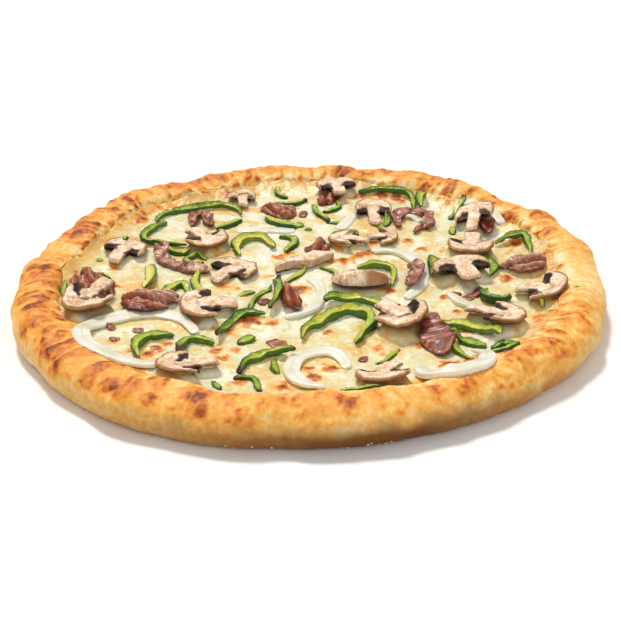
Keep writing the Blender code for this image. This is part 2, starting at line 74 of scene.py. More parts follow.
# Darker spots on the rim: place, width, strength
RIM_SPOTS = (
    (-148, 51, 6, 0.8), (-143, 76, 6, 0.7), (-136, 66, 5, 0.8), (-141, 39, 5, 0.7), (-153, 14, 6, 0.7),
    (-158, -2, 6, 0.7), (-140, 25, 4, 0.6), (-151, -3, 5, 0.8), (-154, -18, 5, 0.6), (-156, -42, 6, 0.8),
    (-148, -82, 7, 0.7), (-147, -98, 5, 1.0), (-151, -100, 4, 1.1), (-141, -114, 5, 1.2),
    (-107, -140, 6, 1.1), (-83, -153, 6, 0.7), (-61, -156, 6, 1.1), (-12, -160, 6, 0.8), (18, -160, 7, 1.1),
    (66, -148, 6, 1.0), (79, -145, 6, 0.8), (107, -115, 6, 0.8), (113, -124, 5, 0.6), (120, -107, 6, 1.1),
    (133, -98, 6, 0.7), (136, -82, 6, 0.9), (152, -79, 5, 0.7), (143, -72, 6, 0.8), (153, -67, 5, 0.7),
    (158, -56, 6, 0.7), (152, 9, 4, 0.8), (151, -3, 4, 0.6), (151, -15, 4, 0.7), (-119, 104, 8, 0.9),
    (-128, 92, 6, 0.6), (-96, 128, 5, 0.7), (-70, 143, 5, 0.6), (20, 158, 5, 0.6), (75, 138, 7, 0.8),
    (92, 128, 6, 0.7), (104, 118, 6, 0.8), (117, 104, 7, 0.7), (130, 82, 7, 0.8), (143, 60, 7, 0.7),
)

# Cheese
CHEESE_TOP = 15.2
CHEESE_UNDER = 9.6
CHEESE_RISE = 20.0  # width of the band in which it climbs to the rim
CHEESE_TUCK = 0.5  # how far its edge is tucked under the crust's skin
CHEESE_LIP = 3.0
SPECK_SPACING = 7.0
CHEESE_GRID = 300
CHEESE_EDGE_RING = 8.9  # where it ends on the crust's slope, in rings of the crust's solid
PRESSED_IN = 0.7  # how deep a topping lies in it
MOST_RAISE = 6.0  # how far it climbs to a topping that lies over it
PAINTED_SHADE_UNDER = {"mushroom": 0.75, "ham": 0.75, "pepper": 0.45, "onion": 0.15}  # how much painted shade it puts on the cheese under and round it
# Browned spots: place, width, strength
CHEESE_SPOTS = (
    (-91, -91, 5, 0.8), (-86, -86, 5, 0.9), (-81, -81, 5, 0.8), (-52, -91, 5, 0.8), (-48, -100, 5, 0.7),
    (-42, -91, 5, 0.8), (-35, -53, 7, 1.0), (-22, -56, 5, 0.9), (-47, -67, 5, 0.6), (10, -67, 4, 0.8),
    (-2, -111, 4, 1.1), (2, -121, 5, 0.8), (12, -111, 5, 0.9), (77, -107, 8, 1.1), (87, -103, 5, 0.9),
    (63, -83, 5, 0.9), (69, -84, 4, 0.8), (37, -86, 4, 0.7), (-38, -126, 5, 0.7), (-15, -131, 4, 0.7),
    (45, -13, 6, 1.2), (79, -22, 4, 0.9), (86, -40, 5, 0.8), (91, -65, 5, 0.6), (-52, -4, 5, 0.6),
    (-5, -12, 6, 0.9), (-20, 36, 5, 0.8), (-15, 42, 5, 0.6), (10, 29, 6, 0.7), (20, 30, 7, 0.8),
    (30, 38, 6, 0.8), (34, 40, 5, 0.9), (17, 45, 4, 0.7), (40, 55, 5, 0.7), (52, 58, 5, 0.8),
    (62, 59, 5, 0.8), (69, 46, 5, 0.8), (83, 45, 4, 0.7), (87, 28, 3, 0.8), (96, 28, 3, 0.8),
    (118, 4, 6, 0.8), (129, 53, 6, 0.9), (144, 31, 5, 0.7), (121, 61, 5, 0.8), (35, 132, 5, 0.8),
    (48, 131, 6, 0.9), (57, 128, 6, 0.9), (60, 123, 5, 0.8), (92, 116, 5, 0.8), (88, 122, 5, 0.7),
    (-110, 90, 5, 0.9), (-109, 97, 4, 0.8), (-56, 130, 5, 0.9), (-57, 137, 4, 0.8), (-121, 87, 4, 0.7),
    (-123, 75, 4, 0.8), (-121, 20, 5, 0.8), (-117, -7, 4, 0.6), (-100, -88, 5, 0.5), (105, -40, 6, 0.6),
    (131, -52, 6, 0.7), (140, -46, 5, 0.6), (-30, 70, 5, 0.5), (-128, -70, 6, 0.5), (-112, -110, 6, 0.5),
    (110, 95, 6, 0.6), (126, 84, 5, 0.6), (0, -140, 6, 0.5), (40, -142, 6, 0.5), (-60, -138, 6, 0.5),
)

# The shares of its solid's width and height that a strip takes: pepper is thinner, for its edges
# are round, and ham lies flatter and wider.
PEPPER_SHARES = (0.82, 0.85)
HAM_SHARES = (1.3, 0.65)

# Pepper strips: width, height, points, then tone (0 deep green, 1 lemon yellow) and how charred
# the start and the end are.
PEPPERS = {
    "pepper_1": (7.5, 6.0, ((-5, -78), (-2, -66), (9, -53), (24, -43), (34, -50), (33, -66), (25, -83)),
                 0.5, 0, 0),
    "pepper_2": (5.0, 4.0, ((-101, 88), (-95, 98), (-82, 105), (-66, 112), (-52, 111), (-46, 99)),
                 0.4, 0, 0.3),
    "pepper_3": (5.0, 4.8, ((-93, 86), (-103, 74), (-106, 60), (-99, 53), (-78, 50)), 0.4, 0, 0.2),
    "pepper_4": (7.0, 4.8, ((-44, 36), (-47, 48), (-41, 60), (-30, 60), (-22, 47)), 0.78, 0.0, 0.2),
    "pepper_5": (6.5, 4.8, ((-96, -101), (-97, -86), (-91, -75), (-77, -73)), 0.5, 0, 0),
    "pepper_6": (5.5, 4.8, ((-73, -102), (-72, -88), (-67, -79), (-54, -84)), 0.5, 1.3, 0),
    "pepper_7": (6.0, 4.8, ((-40, -119), (-34, -106), (-24, -98), (-8, -98)), 0.45, 0.9, 0.5),
    "pepper_8": (5.5, 4.4, ((8, -34), (16, -28), (28, -27), (40, -35), (51, -49)), 0.6, 0.4, 0),
    "pepper_9": (6.8, 4.8, ((73, -60), (89, -63), (101, -71), (106, -85)), 0.58, 0, 0),
    "pepper_10": (6.0, 4.8, ((28, 15), (40, 19), (50, 14), (49, -8)), 0.58, 0, 0),
    "pepper_11": (5.0, 4.8, ((-19, 6), (-20, -10), (-20, -28), (-23, -45)), 0.35, 0.9, 0.5),
    "pepper_12": (5.0, 4.0, ((-26, -46), (-38, -46), (-47, -60), (-53, -80)), 0.3, 0, 0.7),
    "pepper_13": (4.2, 4.0, ((32, 134), (48, 134), (62, 131), (68, 119), (68, 106)), 0.35, 0.2, 0),
    "pepper_14": (4.6, 4.2, ((117, 52), (125, 58), (136, 55), (136, 33)), 0.4, 0, 0),
    "pepper_15": (6.0, 4.4, ((107, 35), (112, 18), (109, 5)), 0.35, 0.3, 0),
    "pepper_16": (6.0, 4.8, ((83, 23), (74, 18), (73, 2)), 0.45, 0, 0),
    "pepper_17": (7.0, 4.8, ((73, 104), (73, 116), (76, 127)), 0.45, 0, 0.9),
    "pepper_18": (9.0, 4.0, ((-100, 20), (-97, 4), (-99, -14)), 1.0, 0, 0),
    "pepper_19": (8.0, 6.5, ((104, -14), (104, -28), (113, -33), (118, -24)), 0.12, 0.3, 0),
}
# Onion arcs: width, height, centre, radii, start angle and sweep, then how much slimmer the ends
# are and how browned the left edge is.
ONIONS = {
    "onion_1": (10.0, 3.0, (-96, -78), (32, 32), 15, 300, 0.4, 0),
    "onion_2": (9.0, 3.0, (5, -114), (15, 21), 5, 275, 0.4, 0),
    "onion_3": (11.0, 4.6, (77, -110.5), (18.5, 20.5), 160, 250, 0.85, 0.8),
    "onion_4": (6.5, 3.0, (-20, -20), (27, 29), -80, 130, 0.4, 0),
    "onion_5": (9.0, 3.0, (44, 7), (24, 37), 105, -165, 0.4, 0),
    "onion_6": (7.0, 3.0, (113, -10), (32, 33), 190, 85, 0.4, 0),
}
# Ham lumps: centre, heading of its folds, and how purple and pale it is.
HAM_LUMPS = {
    "ham_1": ((-130, -9), 110, 0.15),
    "ham_2": ((-95, -35), -15, 0.6),
    "ham_3": ((-21, 106), -50, 0.4),
    "ham_4": ((11, 122), 80, 0.1),
    "ham_5": ((5, 46), 75, 0.1),
    "ham_6": ((-12, -30), 100, 0.15),
    "ham_7": ((131, 17), 20, 0.9),
}
FOLD_WIDTH = 6.8
FOLD_HEIGHT = 2.8
WRINKLE_WIDTH = 2.6
WRINKLE_HEIGHT = 0.5
# Ham folded into strips: width, height, points, and how purple and pale it is.
HAM_STRIPS = {
    "ham_8": (8.0, 5.0, ((-93, 45), (-91, 26), (-78, 16), (-61, 10)), 0.8),
    "ham_9": (5.5, 5.5, ((-75, 80), (-75, 96), (-68, 99), (-65, 78)), 0.3),
    "ham_10": (5.5, 5.5, ((57, 78), (58, 96), (77, 97), (75, 82), (66, 69)), 0.6),
    "ham_11": (12.0, 5.5, ((66, -46), (68, -64), (74, -97)), 0.3),
    "ham_12": (7.0, 5.5, ((63, 18), (64, 2), (58, -14)), 0.6),
    "ham_13": (7.5, 6.0, ((114, 85), (112, 67)), 0.1),
}
# Mushroom slices: centre, heading of the cap, cap width, length, then how dark the gills are at
# its left, in the middle and at its right, and how far its sides curl up.
MUSHROOMS = {
    "mushroom_1": ((-129, -37), -113, 27, 45, (0.7, 0.5, 1.0), 1.4),
    "mushroom_2": ((-117, 38), 68, 27, 32, (1.0, 0.0, 1.0), 1.0),
    "mushroom_3": ((-67, 53), -56, 28, 29, (0.9, 0.0, 0.8), 0.6),
    "mushroom_4": ((-48, 10), 48, 30, 34, (1.0, 0.3, 0.9), 1.2),
    "mushroom_5": ((-60, -41), 190, 36, 33, (1.0, 0.3, 0.9), 1.0),
    "mushroom_6": ((-67, -118), 198, 29, 34, (1.0, 0.2, 0.9), 1.0),
    "mushroom_7": ((39, -126), -106, 30, 33, (0.9, 0.1, 0.9), 0.8),
    "mushroom_8": ((51, -60), -58, 31, 34, (1.0, 0.6, 0.3), 1.4),
    "mushroom_9": ((106, -58), -25, 26, 36, (0.9, 0.2, 0.9), 0.8),
    "mushroom_10": ((136, -24), -30, 30, 30, (1.0, 0.3, 0.8), 1.4),
    "mushroom_11": ((92, 1), 105, 37, 30, (1.0, 0.2, 1.0), 1.2),
    "mushroom_12": ((100, 42), -105, 30, 29, (0.3, 0.4, 1.0), 1.0),
    "mushroom_13": ((105, 79), 82, 24, 33, (0.9, 0.0, 0.7), 1.0),
    "mushroom_14": ((41, 100), 90, 24, 33, (0.9, 0.2, 0.9), 1.0),
    "mushroom_15": ((18, 132), 105, 27, 20, (0.9, 0.0, 0.9), 0.6),
    "mushroom_16": ((-45, 121), 92, 19, 22, (0.5, 0.8, 0.5), 0.6),
    "mushroom_17": ((46, 61), 0, 24, 19, (0.7, 0.0, 0.8), 0.6),
    "mushroom_18": ((24, 53), 170, 19, 26, (0.8, 0.4, 0.4), 0.8),
}
SLICE_THICKNESS = 4.2
GILL_DEPTH = 1.9
LAMELLA_WIDTH = 1.4  # coarser than real gills, so that they show
# A slice seen on edge: node, width, height, points. Half a cap: node and centre.
EDGE_SLICE = ("mushroom_19", 7.5, 7.0, ((-22, 13), (-4, 22), (14, 33)))
HALF_CAP = ("mushroom_20", (30, -8))

# Scraps half sunk in the cheese: width, height, points, then for pepper its tone and char, and for
# ham how pale it is.
PEPPER_SCRAPS = (
    (5.4, 4.0, ((75, -77), (87, -81), (98, -87)), 0.3, 0, 0),
    (4.2, 4.0, ((100, -90), (108, -87), (113, -94), (108, -101), (100, -99), (97, -93)), 0.25, 0.3, 0.3),
    (5.0, 4.4, ((-98, -16), (-90, -22), (-85, -10), (-77, -5), (-72, -18)), 0.6, 0.6, 0),
    (5.4, 4.0, ((-68, 9), (-70, -2), (-66, -22)), 0.62, 0, 0),
    (6.0, 4.2, ((-30, 96), (-21, 87), (-9, 79)), 0.5, 0, 0),
    (6.0, 4.2, ((-61, 77), (-54, 83), (-45, 92)), 0.5, 0, 0),
    (6.8, 4.6, ((13, 68), (31, 68)), 0.3, 0, 0),
    (4.8, 4.0, ((-20, 65), (-10, 60), (-15, 43)), 0.35, 0, 0),
    (4.4, 4.0, ((2, 117), (5, 102), (12, 87)), 0.4, 0.3, 0.8),
    (4.0, 3.6, ((-23, 143), (-22, 136), (-15, 131)), 0.5, 0, 0),
    (4.2, 3.6, ((-25, 121), (-12, 120), (-2, 127)), 0.4, 0, 0.8),
    (6.5, 4.4, ((-41, -83), (-32, -73)), 0.5, 0.7, 0.5),
    (4.0, 3.6, ((-124, 57), (-117, 60), (-117, 48)), 0.5, 0, 0),
    (4.6, 4.4, ((91, 95), (98, 107), (101, 116)), 0.4, 0, 0.7),
    (5.0, 3.0, ((50, 98), (49, 86), (44, 79)), 0.4, 0, 0.4),
    (3.5, 3.0, ((6, 20), (15, 12), (27, 0)), 0.4, 0, 0),
    (3.5, 3.0, ((17, 8), (14, -5)), 0.5, 0, 0),
    (3.5, 3.0, ((-3, 17), (-9, 6), (-17, -5)), 0.55, 0, 0),
    (3.0, 3.0, ((-23, -12), (-31, -20), (-35, -32), (-37, -43)), 0.2, 0.3, 0.2),
    (4.0, 3.4, ((-65, 31), (-71, 37), (-77, 32), (-73, 25), (-66, 27)), 0.4, 0, 0.3),
    (5.0, 3.4, ((-90, 48), (-84, 42), (-75, 41)), 0.5, 0, 0),
    (4.0, 3.0, ((-42, -121), (-31, -122), (-27, -137)), 0.3, 0.8, 0.6),
    (4.0, 3.0, ((-53, -126), (-48, -137)), 0.2, 0.9, 0.9),
    (3.0, 3.0, ((-147, -8), (-147, -20), (-144, -30)), 0.3, 0, 0),
    (3.0, 3.0, ((-139, 3), (-135, 9), (-130, 11)), 0.45, 0, 0),
    (6.0, 4.0, ((-127, 2), (-121, 4)), 0.15, 0.4, 0.4),
    (3.0, 3.0, ((35, -105), (43, -98), (50, -87)), 0.5, 0, 0.5),
    (3.5, 3.0, ((15, -145), (37, -147)), 0.35, 0.2, 0.6),
    (5.0, 3.4, ((91, 79), (91, 68)), 0.5, 0, 0),
    (5.0, 2.6, ((-43, -19), (-33, -14)), 0.7, 0, 0),
    (4.0, 3.0, ((76, -85), (82, -91), (87, -101)), 0.45, 0, 0),
    (4.0, 3.4, ((-21, -101), (-18, -117)), 0.4, 0.6, 0),
    (4.0, 2.6, ((-133, 29), (-129, 32)), 0.5, 0, 0),
    (4.0, 2.6, ((153, -28), (161, -27)), 0.6, 0, 0),
    (4.0, 2.6, ((133, -35), (135, -41)), 0.5, 0, 0),
    (4.0, 3.4, ((8, 106), (12, 104), (18, 112), (18, 120)), 0.35, 0, 0),
    (5.0, 3.0, ((-4, 78), (1, 78)), 0.85, 0, 0),
    (6.0, 2.6, ((-12, 84), (-4, 84)), 0.6, 0, 0),
    (3.0, 2.6, ((10, 87), (20, 87)), 0.3, 0.6, 0),
)
ONION_SCRAPS = (
    (7.5, 3.0, ((27, 99), (23, 88), (18, 77))),
    (8.0, 3.0, ((99, 111), (110, 106), (119, 94), (124, 80))),
    (9.0, 2.6, ((-48, 76), (-30, 77), (-10, 75))),
    (6.0, 2.4, ((60, 98), (70, 92), (80, 82))),
)
HAM_SCRAPS = (
    (7.5, 2.85, ((-22, -76), (-15, -88)), 0.5),
    (5.0, 2.25, ((-5, 96), (-5, 108)), 0.2),
    (5.0, 1.95, ((84, -18), (90, -18)), 0.4),
    (6.0, 1.95, ((92, -25), (96, -20), (103, -14)), 0.5),
    (5.0, 1.95, ((-116, -60), (-112, -65)), 1.0),
    (5.0, 1.8, ((-114, -76), (-108, -73)), 1.0),
    (5.0, 1.8, ((-102, -66), (-95, -64)), 1.0),
    (7.0, 2.55, ((-31, -26), (-25, -30)), 0.3),
    (4.0, 1.95, ((28, -103), (30, -95)), 0.2),
    (5.0, 2.25, ((105, -107), (111, -105)), 0.1),
    (4.0, 1.8, ((60, -72), (64, -72)), 0.1),
)

CRUMBS = 260
CRUMB_SIZE = 0.75

# Floor and lights, in metres and degrees
FLOOR_HALF = 6.0
SKY_COLOUR = "#FFFDFA"
SKY_STRENGTH = 0.47
KEY_COLOUR = "#FFF8EE"
KEY_STRENGTH = 2.4
KEY_WIDTH = 12
KEY_PLACE = (-0.3, 0.75, 1.35)
FILL_WATTS = 6.0
FILL_SIZE = 1.2
FILL_PLACE = (0.3, -1.5, 0.8)

MAP_REACH = 190
MAP_SIDE = 2 * MAP_REACH + 1  # cells of 1 mm
MASK = 0xFFFFFFFF


def smooth(low, high, value):
    """From 0 below `low` to 1 above `high`, eased at both ends."""
    part = np.clip((value - low) / (high - low), 0, 1)
    return part * part * (3 - 2 * part)


def lattice(cell, seed):
    """A fixed number from 0 to 1 for each whole-number place, by an integer hash."""
    mixed = seed * 1274126177
    for axis, factor in zip(range(cell.shape[-1]), (374761393, 668265263, 974634777)):
        mixed = mixed + cell[..., axis] * factor
    mixed = mixed & MASK
    mixed = ((mixed ^ (mixed >> 13)) * 1274126177) & MASK
    return ((mixed ^ (mixed >> 16)) & 0xFFFFFF) / 0xFFFFFF


def noise(points, size, seed=0):
    """Value noise from -1 to 1, its bumps about `size` across: the hash at the corners of each
    cell, mixed by the eased place within the cell."""
    at = points / size + 0.37 * seed
    cell = np.floor(at).astype(np.int64)
    part = at - cell
    part = part * part * (3 - 2 * part)
    total = 0.0
    for corner in np.ndindex(*(2,) * points.shape[-1]):
        share = np.prod(np.where(np.array(corner) == 1, part, 1 - part), axis=-1)
        total = total + share * lattice(cell + np.array(corner), seed)
    return 2 * total - 1


def layered(points, size, octaves, seed=0):
    """Noise from about -1 to 1 in layers, each half as wide and half as strong as the last."""
    shares = 0.5 ** np.arange(octaves)
    layers = [share * noise(points, size * share, seed + 7 * k) for k, share in enumerate(shares)]
    return sum(layers) / shares.sum() * 1.5


def scattered(points, seed, around=None):
    """Distance to the nearest of the dots that are scattered one to a cell, in cells, and a number
    of that dot's own. `around` is how many cells lie round a ring along the first axis."""
    cell = np.floor(points).astype(np.int64)
    nearest = np.full(points.shape[:-1], np.inf)
    own = np.zeros(points.shape[:-1])
    for step in np.ndindex(3, 3):
        here = cell + np.array(step) - 1
        key = here.copy()
        if around:
            key[..., 0] %= around
        dot = here + np.stack([lattice(key, seed), lattice(key, seed + 1)], axis=-1)
        away = np.linalg.norm(dot - points, axis=-1)
        own = np.where(away < nearest, lattice(key, seed + 2), own)
        nearest = np.minimum(away, nearest)
    return nearest, own


def curve_through(rows, at, closed=False):
    """The Catmull-Rom curve through `rows`, at fractional row numbers."""
    count = len(rows)
    first = np.floor(at).astype(int)
    if not closed:
        first = np.clip(first, 0, count - 2)
    part = (at - first).reshape((-1,) + (1,) * (rows.ndim - 1))

    def row(number):
        return rows[number % count if closed else np.clip(number, 0, count - 1)]

    before, start, end, after = row(first - 1), row(first), row(first + 1), row(first + 2)
    return 0.5 * (
        2 * start + (end - before) * part + (2 * before - 5 * start + 4 * end - after) * part**2
        + (3 * start - before - 3 * end + after) * part**3
    )


def even_path(fine, step):
    """Points at even steps along a fine line."""
    travelled = np.concatenate([[0], np.cumsum(np.linalg.norm(np.diff(fine, axis=0), axis=1))])
    wanted = np.linspace(0, travelled[-1], max(8, int(travelled[-1] / step)))
    return np.stack([np.interp(wanted, travelled, fine[:, axis]) for axis in (0, 1)], axis=1)


def path_through(points, step):
    """A smooth path through given points."""
    given = np.array(points, float)
    return even_path(curve_through(given, np.linspace(0, len(given) - 1, 24 * len(given))), step)


def arc_path(centre, radii, start, sweep, step):
    """An ellipse's arc, its radius wavering by 3%."""
    angles = np.radians(start + sweep * np.linspace(0, 1, 240))
    waver = 1 + 0.03 * np.sin(3 * angles + centre[0])
    ways = np.stack([np.cos(angles), np.sin(angles)], axis=1)
    return even_path(np.array(centre) + np.array(radii) * waver[:, None] * ways, step)


def ring_surface(rings):
    """A closed surface through rings of points, with a fan over the first and the last ring."""
    count, around = rings.shape[:2]
    here = np.arange(count * around).reshape(count, around)
    beside = np.roll(here, -1, axis=1)
    quads = np.stack([here[:-1], beside[:-1], beside[1:], here[1:]], axis=-1).reshape(-1, 4)
    first = np.stack([beside[0], here[0], np.full(around, count * around)], axis=-1)
    last = np.stack([here[-1], beside[-1], np.full(around, count * around + 1)], axis=-1)
    points = np.concatenate([rings.reshape(-1, 3), rings[[0, -1]].mean(axis=1)])
    return points, [quads, np.concatenate([first, last])]


def ring_mark(values):
    """A mark for each point of such a surface, its two fan tips included."""
    return np.concatenate([values.ravel(), values[[0, -1]].mean(axis=1)])


def add_piece(name, surface, marks, kind, replaced=()):
    """Makes a mesh object of points in millimetres. Its faces are turned so that the volume that
    they close in is positive, which makes them face outwards."""
    points, groups = surface
    volume = 0.0
    for faces in groups:
        corners = points[faces]
        for k in range(1, faces.shape[1] - 1):
            volume += np.einsum("ij,ij->", corners[:, 0], np.cross(corners[:, k], corners[:, k + 1]))
    if volume < 0:
        groups = [faces[:, ::-1] for faces in groups]
    sides = np.concatenate([np.full(len(faces), faces.shape[1]) for faces in groups])
    loops = np.concatenate([faces.ravel() for faces in groups])
    mesh = bpy.data.meshes.new(name)
    mesh.vertices.add(len(points))
    mesh.vertices.foreach_set("co", (points * MM).ravel())
    mesh.loops.add(len(loops))
    mesh.loops.foreach_set("vertex_index", loops)
    mesh.polygons.add(len(sides))
    mesh.polygons.foreach_set("loop_start", np.concatenate([[0], np.cumsum(sides)[:-1]]))
    mesh.update(calc_edges=True)
    mesh.shade_smooth()
    for mark, values in marks.items():
        mesh.attributes.new(mark, "FLOAT", "POINT").data.foreach_set("value", values)
    mesh.materials.append(MATERIALS[kind])
    piece = bpy.data.objects.new(name, mesh)
    bpy.context.collection.objects.link(piece)
    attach(piece, "root")
    if replaced:
        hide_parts(*replaced)


def node_points(name):
    """The corners of a node's solid in millimetres, each once."""
    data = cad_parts[name].data
    found = np.empty(3 * len(data.vertices))
    data.vertices.foreach_get("co", found)
    return np.unique(np.round(found.reshape(-1, 3) / MM, 3), axis=0)


def lie_of(name, places, reach):
    """The height of the middle of a solid at places, and its slopes there: at each place a plane
    fitted to its corners, in which those within `reach` weigh most."""
    corners = node_points(name)
    away = np.linalg.norm(places[:, None] - corners[None, :, :2], axis=-1)
    weight = np.exp(-away**2 / (2 * reach**2)) + 1e-9
    weight /= weight.sum(axis=1, keepdims=True)
    middle = weight @ corners
    offset = corners[None] - middle[:, None]
    spread = np.einsum("pn,pni,pnj->pij", weight, offset, offset)
    table = spread[:, :2, :2] + 0.5 * np.eye(2)
    slopes = np.linalg.solve(table, spread[:, :2, 2:])[..., 0]
    return middle[:, 2] + np.einsum("pi,pi->p", slopes, places - middle[:, :2]), slopes


def cell_numbers(x, y):
    """The row and column of the 1 mm map's cell at places."""
    place = np.stack([np.ravel(x), np.ravel(y)]) + MAP_REACH
    return tuple(np.clip(np.rint(place).astype(int), 0, MAP_SIDE - 1))


def read_map(heights, x, y):
    """A map's value at places, mixed between the four cells round each."""
    across, along = np.clip(np.stack([x, y]) + MAP_REACH, 0, MAP_SIDE - 1.001)
    i, j = np.floor(across).astype(int), np.floor(along).astype(int)
    a, b = across - i, along - j
    return (
        heights[i, j] * (1 - a) * (1 - b) + heights[i + 1, j] * a * (1 - b)
        + heights[i, j + 1] * (1 - a) * b + heights[i + 1, j + 1] * a * b
    )


def blurred(heights, width):
    """A map smoothed by a bell curve of that width, by way of its frequencies."""
    rate = np.fft.fftfreq(MAP_SIDE)
    bell = np.exp(-2 * (math.pi * width) ** 2 * (rate[:, None] ** 2 + rate[None, :] ** 2))
    return np.real(np.fft.ifft2(np.fft.fft2(heights) * bell))


def lowest_near(heights, reach):
    """A map's lowest value within `reach` cells of each cell."""
    steps = range(-reach, reach + 1)
    return np.min([np.roll(heights, (i, j), (0, 1)) for i in steps for j in steps], axis=0)


# Materials

TIMES_PLUS = {"operation": "MULTIPLY_ADD"}
COLOURS = {"data_type": "RGBA"}
EASED = {"interpolation_type": "SMOOTHSTEP"}


def srgb(text):
    """A colour in sRGB hex, turned to linear."""
    parts = np.array([int(text[k:k + 2], 16) for k in (1, 3, 5)]) / 255
    linear = np.where(parts <= 0.04045, parts / 12.92, ((parts + 0.055) / 1.055) ** 2.4)
    return (*linear, 1.0)


def add_node(tree, kind, settings=None, sockets=None, output=None):
    """Adds a node with its settings, gives its sockets a value or a link, and returns the output
    that is asked for, or else the first in use. Sockets go by name, or by number where names
    repeat."""
    made = tree.nodes.new("ShaderNode" + kind)
    for name, value in (settings or {}).items():
        if name == "stops":
            while len(made.color_ramp.elements) < len(value):
                made.color_ramp.elements.new(0.5)
            for element, (place, colour) in zip(made.color_ramp.elements, value):
                element.position = place
                element.color = srgb(colour)
        else:
            setattr(made, name, value)
    for name, value in (sockets or {}).items():
        usable = [socket for socket in made.inputs if socket.enabled]
        socket = usable[name] if isinstance(name, int) else next(one for one in usable if one.name == name)
        if isinstance(value, bpy.types.NodeSocket):
            tree.links.new(value, socket)
        else:
            socket.default_value = value
    return next((one for one in made.outputs if one.enabled and output in (None, one.name)), None)


def new_material(name, *marks):
    """A material with an empty tree, the place on the piece in metres, and the piece's marks."""
    made = bpy.data.materials.new(name)
    made.use_nodes = True
    tree = made.node_tree
    tree.nodes.clear()
    values = [add_node(tree, "Attribute", {"attribute_name": mark}, output="Fac") for mark in marks]
    return made, tree, add_node(tree, "TexCoord", output="Object"), *values


def finished(made, colour, height, strength, depth, looks):
    """Ends a material with its colour, a relief `depth` millimetres deep and its shader's looks."""
    tree = made.node_tree
    relief = add_node(tree, "Bump", {}, {"Height": height, "Strength": strength, "Distance": depth * MM})
    shader = add_node(tree, "BsdfPrincipled", {"subsurface_method": "RANDOM_WALK"}, {
        "Base Color": colour, "Normal": relief, **looks})
    add_node(tree, "OutputMaterial", {}, {"Surface": shader})
    return made


def per_metre(size):
    """The scale of a noise texture whose bumps are `size` millimetres across."""
    return 1 / (size * MM)


def baked_dough():
    """Wheat dough baked golden: matt and dry, cream in its folds, orange on its domes and
    red-brown on its blisters, darker low on its side, a little all round as browned in the pan and much more
    at the front, where that is painted shade, with fine pores."""
    made, tree, place, bake, side = new_material("baked_dough", "bake", "side")
    mottle = add_node(tree, "TexNoise", {}, {
        "Vector": place, "Scale": per_metre(3.6), "Detail": 5.0, "Roughness": 0.68})
    baked = add_node(tree, "Math", TIMES_PLUS, {0: mottle, 1: 0.6, 2: bake})
    colour = add_node(tree, "ValToRGB", {"stops": (
        (0.30, "#FBE9BE"), (0.43, "#F9D38C"), (0.55, "#F4B95C"), (0.66, "#EFA444"), (0.76, "#E18A36"),
        (0.85, "#CA6E2A"), (0.93, "#A8561F"), (1.0, "#7F3C16"))}, {"Fac": baked})
    # Low on the side the colour is multiplied darker: pan browning all round, and painted shade at the front.
    dull = add_node(tree, "Mix", {**COLOURS, "blend_type": "MULTIPLY"}, {
        "Factor": side, "A": colour, "B": srgb("#745718")})
    pores = add_node(tree, "TexNoise", {}, {"Vector": place, "Scale": per_metre(0.9), "Detail": 5.0})
    return finished(made, dull, pores, 0.4, 0.6, {
        "Roughness": 0.55, "IOR": 1.45, "Specular IOR Level": 0.35, "Subsurface Weight": 0.1,
        "Subsurface Scale": 0.003, "Subsurface Radius": (1.0, 0.7, 0.45)})


def melted_cheese():
    """Melted mozzarella: milky white where thick, half clear and greenish cream where thin, oily,
    with blisters baked from orange to red-brown, and painted shade under and round what lies on it."""
    made, tree, place, brown, cream, juice = new_material("melted_cheese", "brown", "cream", "juice")
    speck = add_node(tree, "TexNoise", {}, {
        "Vector": place, "Scale": per_metre(2.8), "Detail": 6.0, "Roughness": 0.66})
    thickness = add_node(tree, "Math", TIMES_PLUS, {0: speck, 1: 0.75, 2: cream})
    milk = add_node(tree, "ValToRGB", {"stops": (
        (0.28, "#FAF8EE"), (0.42, "#F0EDD2"), (0.56, "#E4DDAB"), (0.70, "#EACB88"), (0.92, "#E2A850"))},
        {"Fac": thickness})
    heat = add_node(tree, "Math", TIMES_PLUS, {0: speck, 1: 0.55, 2: brown})
    baked = add_node(tree, "ValToRGB", {"stops": (
        (0.34, "#F5DC9E"), (0.48, "#F0BC66"), (0.62, "#E8983F"), (0.76, "#D0752C"), (0.88, "#A5521E"),
        (1.0, "#6E3213"))}, {"Fac": heat})
    share = add_node(tree, "MapRange", EASED, {"Value": brown, "From Min": 0.02, "From Max": 0.3})
    dry = add_node(tree, "Mix", COLOURS, {"Factor": share, "A": milk, "B": baked})
    # Painted shade darkens the cheese under and round the toppings.
    colour = add_node(tree, "Mix", COLOURS, {"Factor": juice, "A": dry, "B": srgb("#7B5E32")})
    dimples = add_node(tree, "TexNoise", {}, {"Vector": place, "Scale": per_metre(1.6), "Detail": 4.0})
    oil = add_node(tree, "MapRange", {}, {"Value": speck, "To Min": 0.2, "To Max": 0.5})
    return finished(made, colour, dimples, 0.35, 0.8, {
        "Roughness": oil, "IOR": 1.44, "Subsurface Weight": 0.3, "Subsurface Scale": 0.003,
        "Subsurface Radius": (1.0, 0.8, 0.5)})


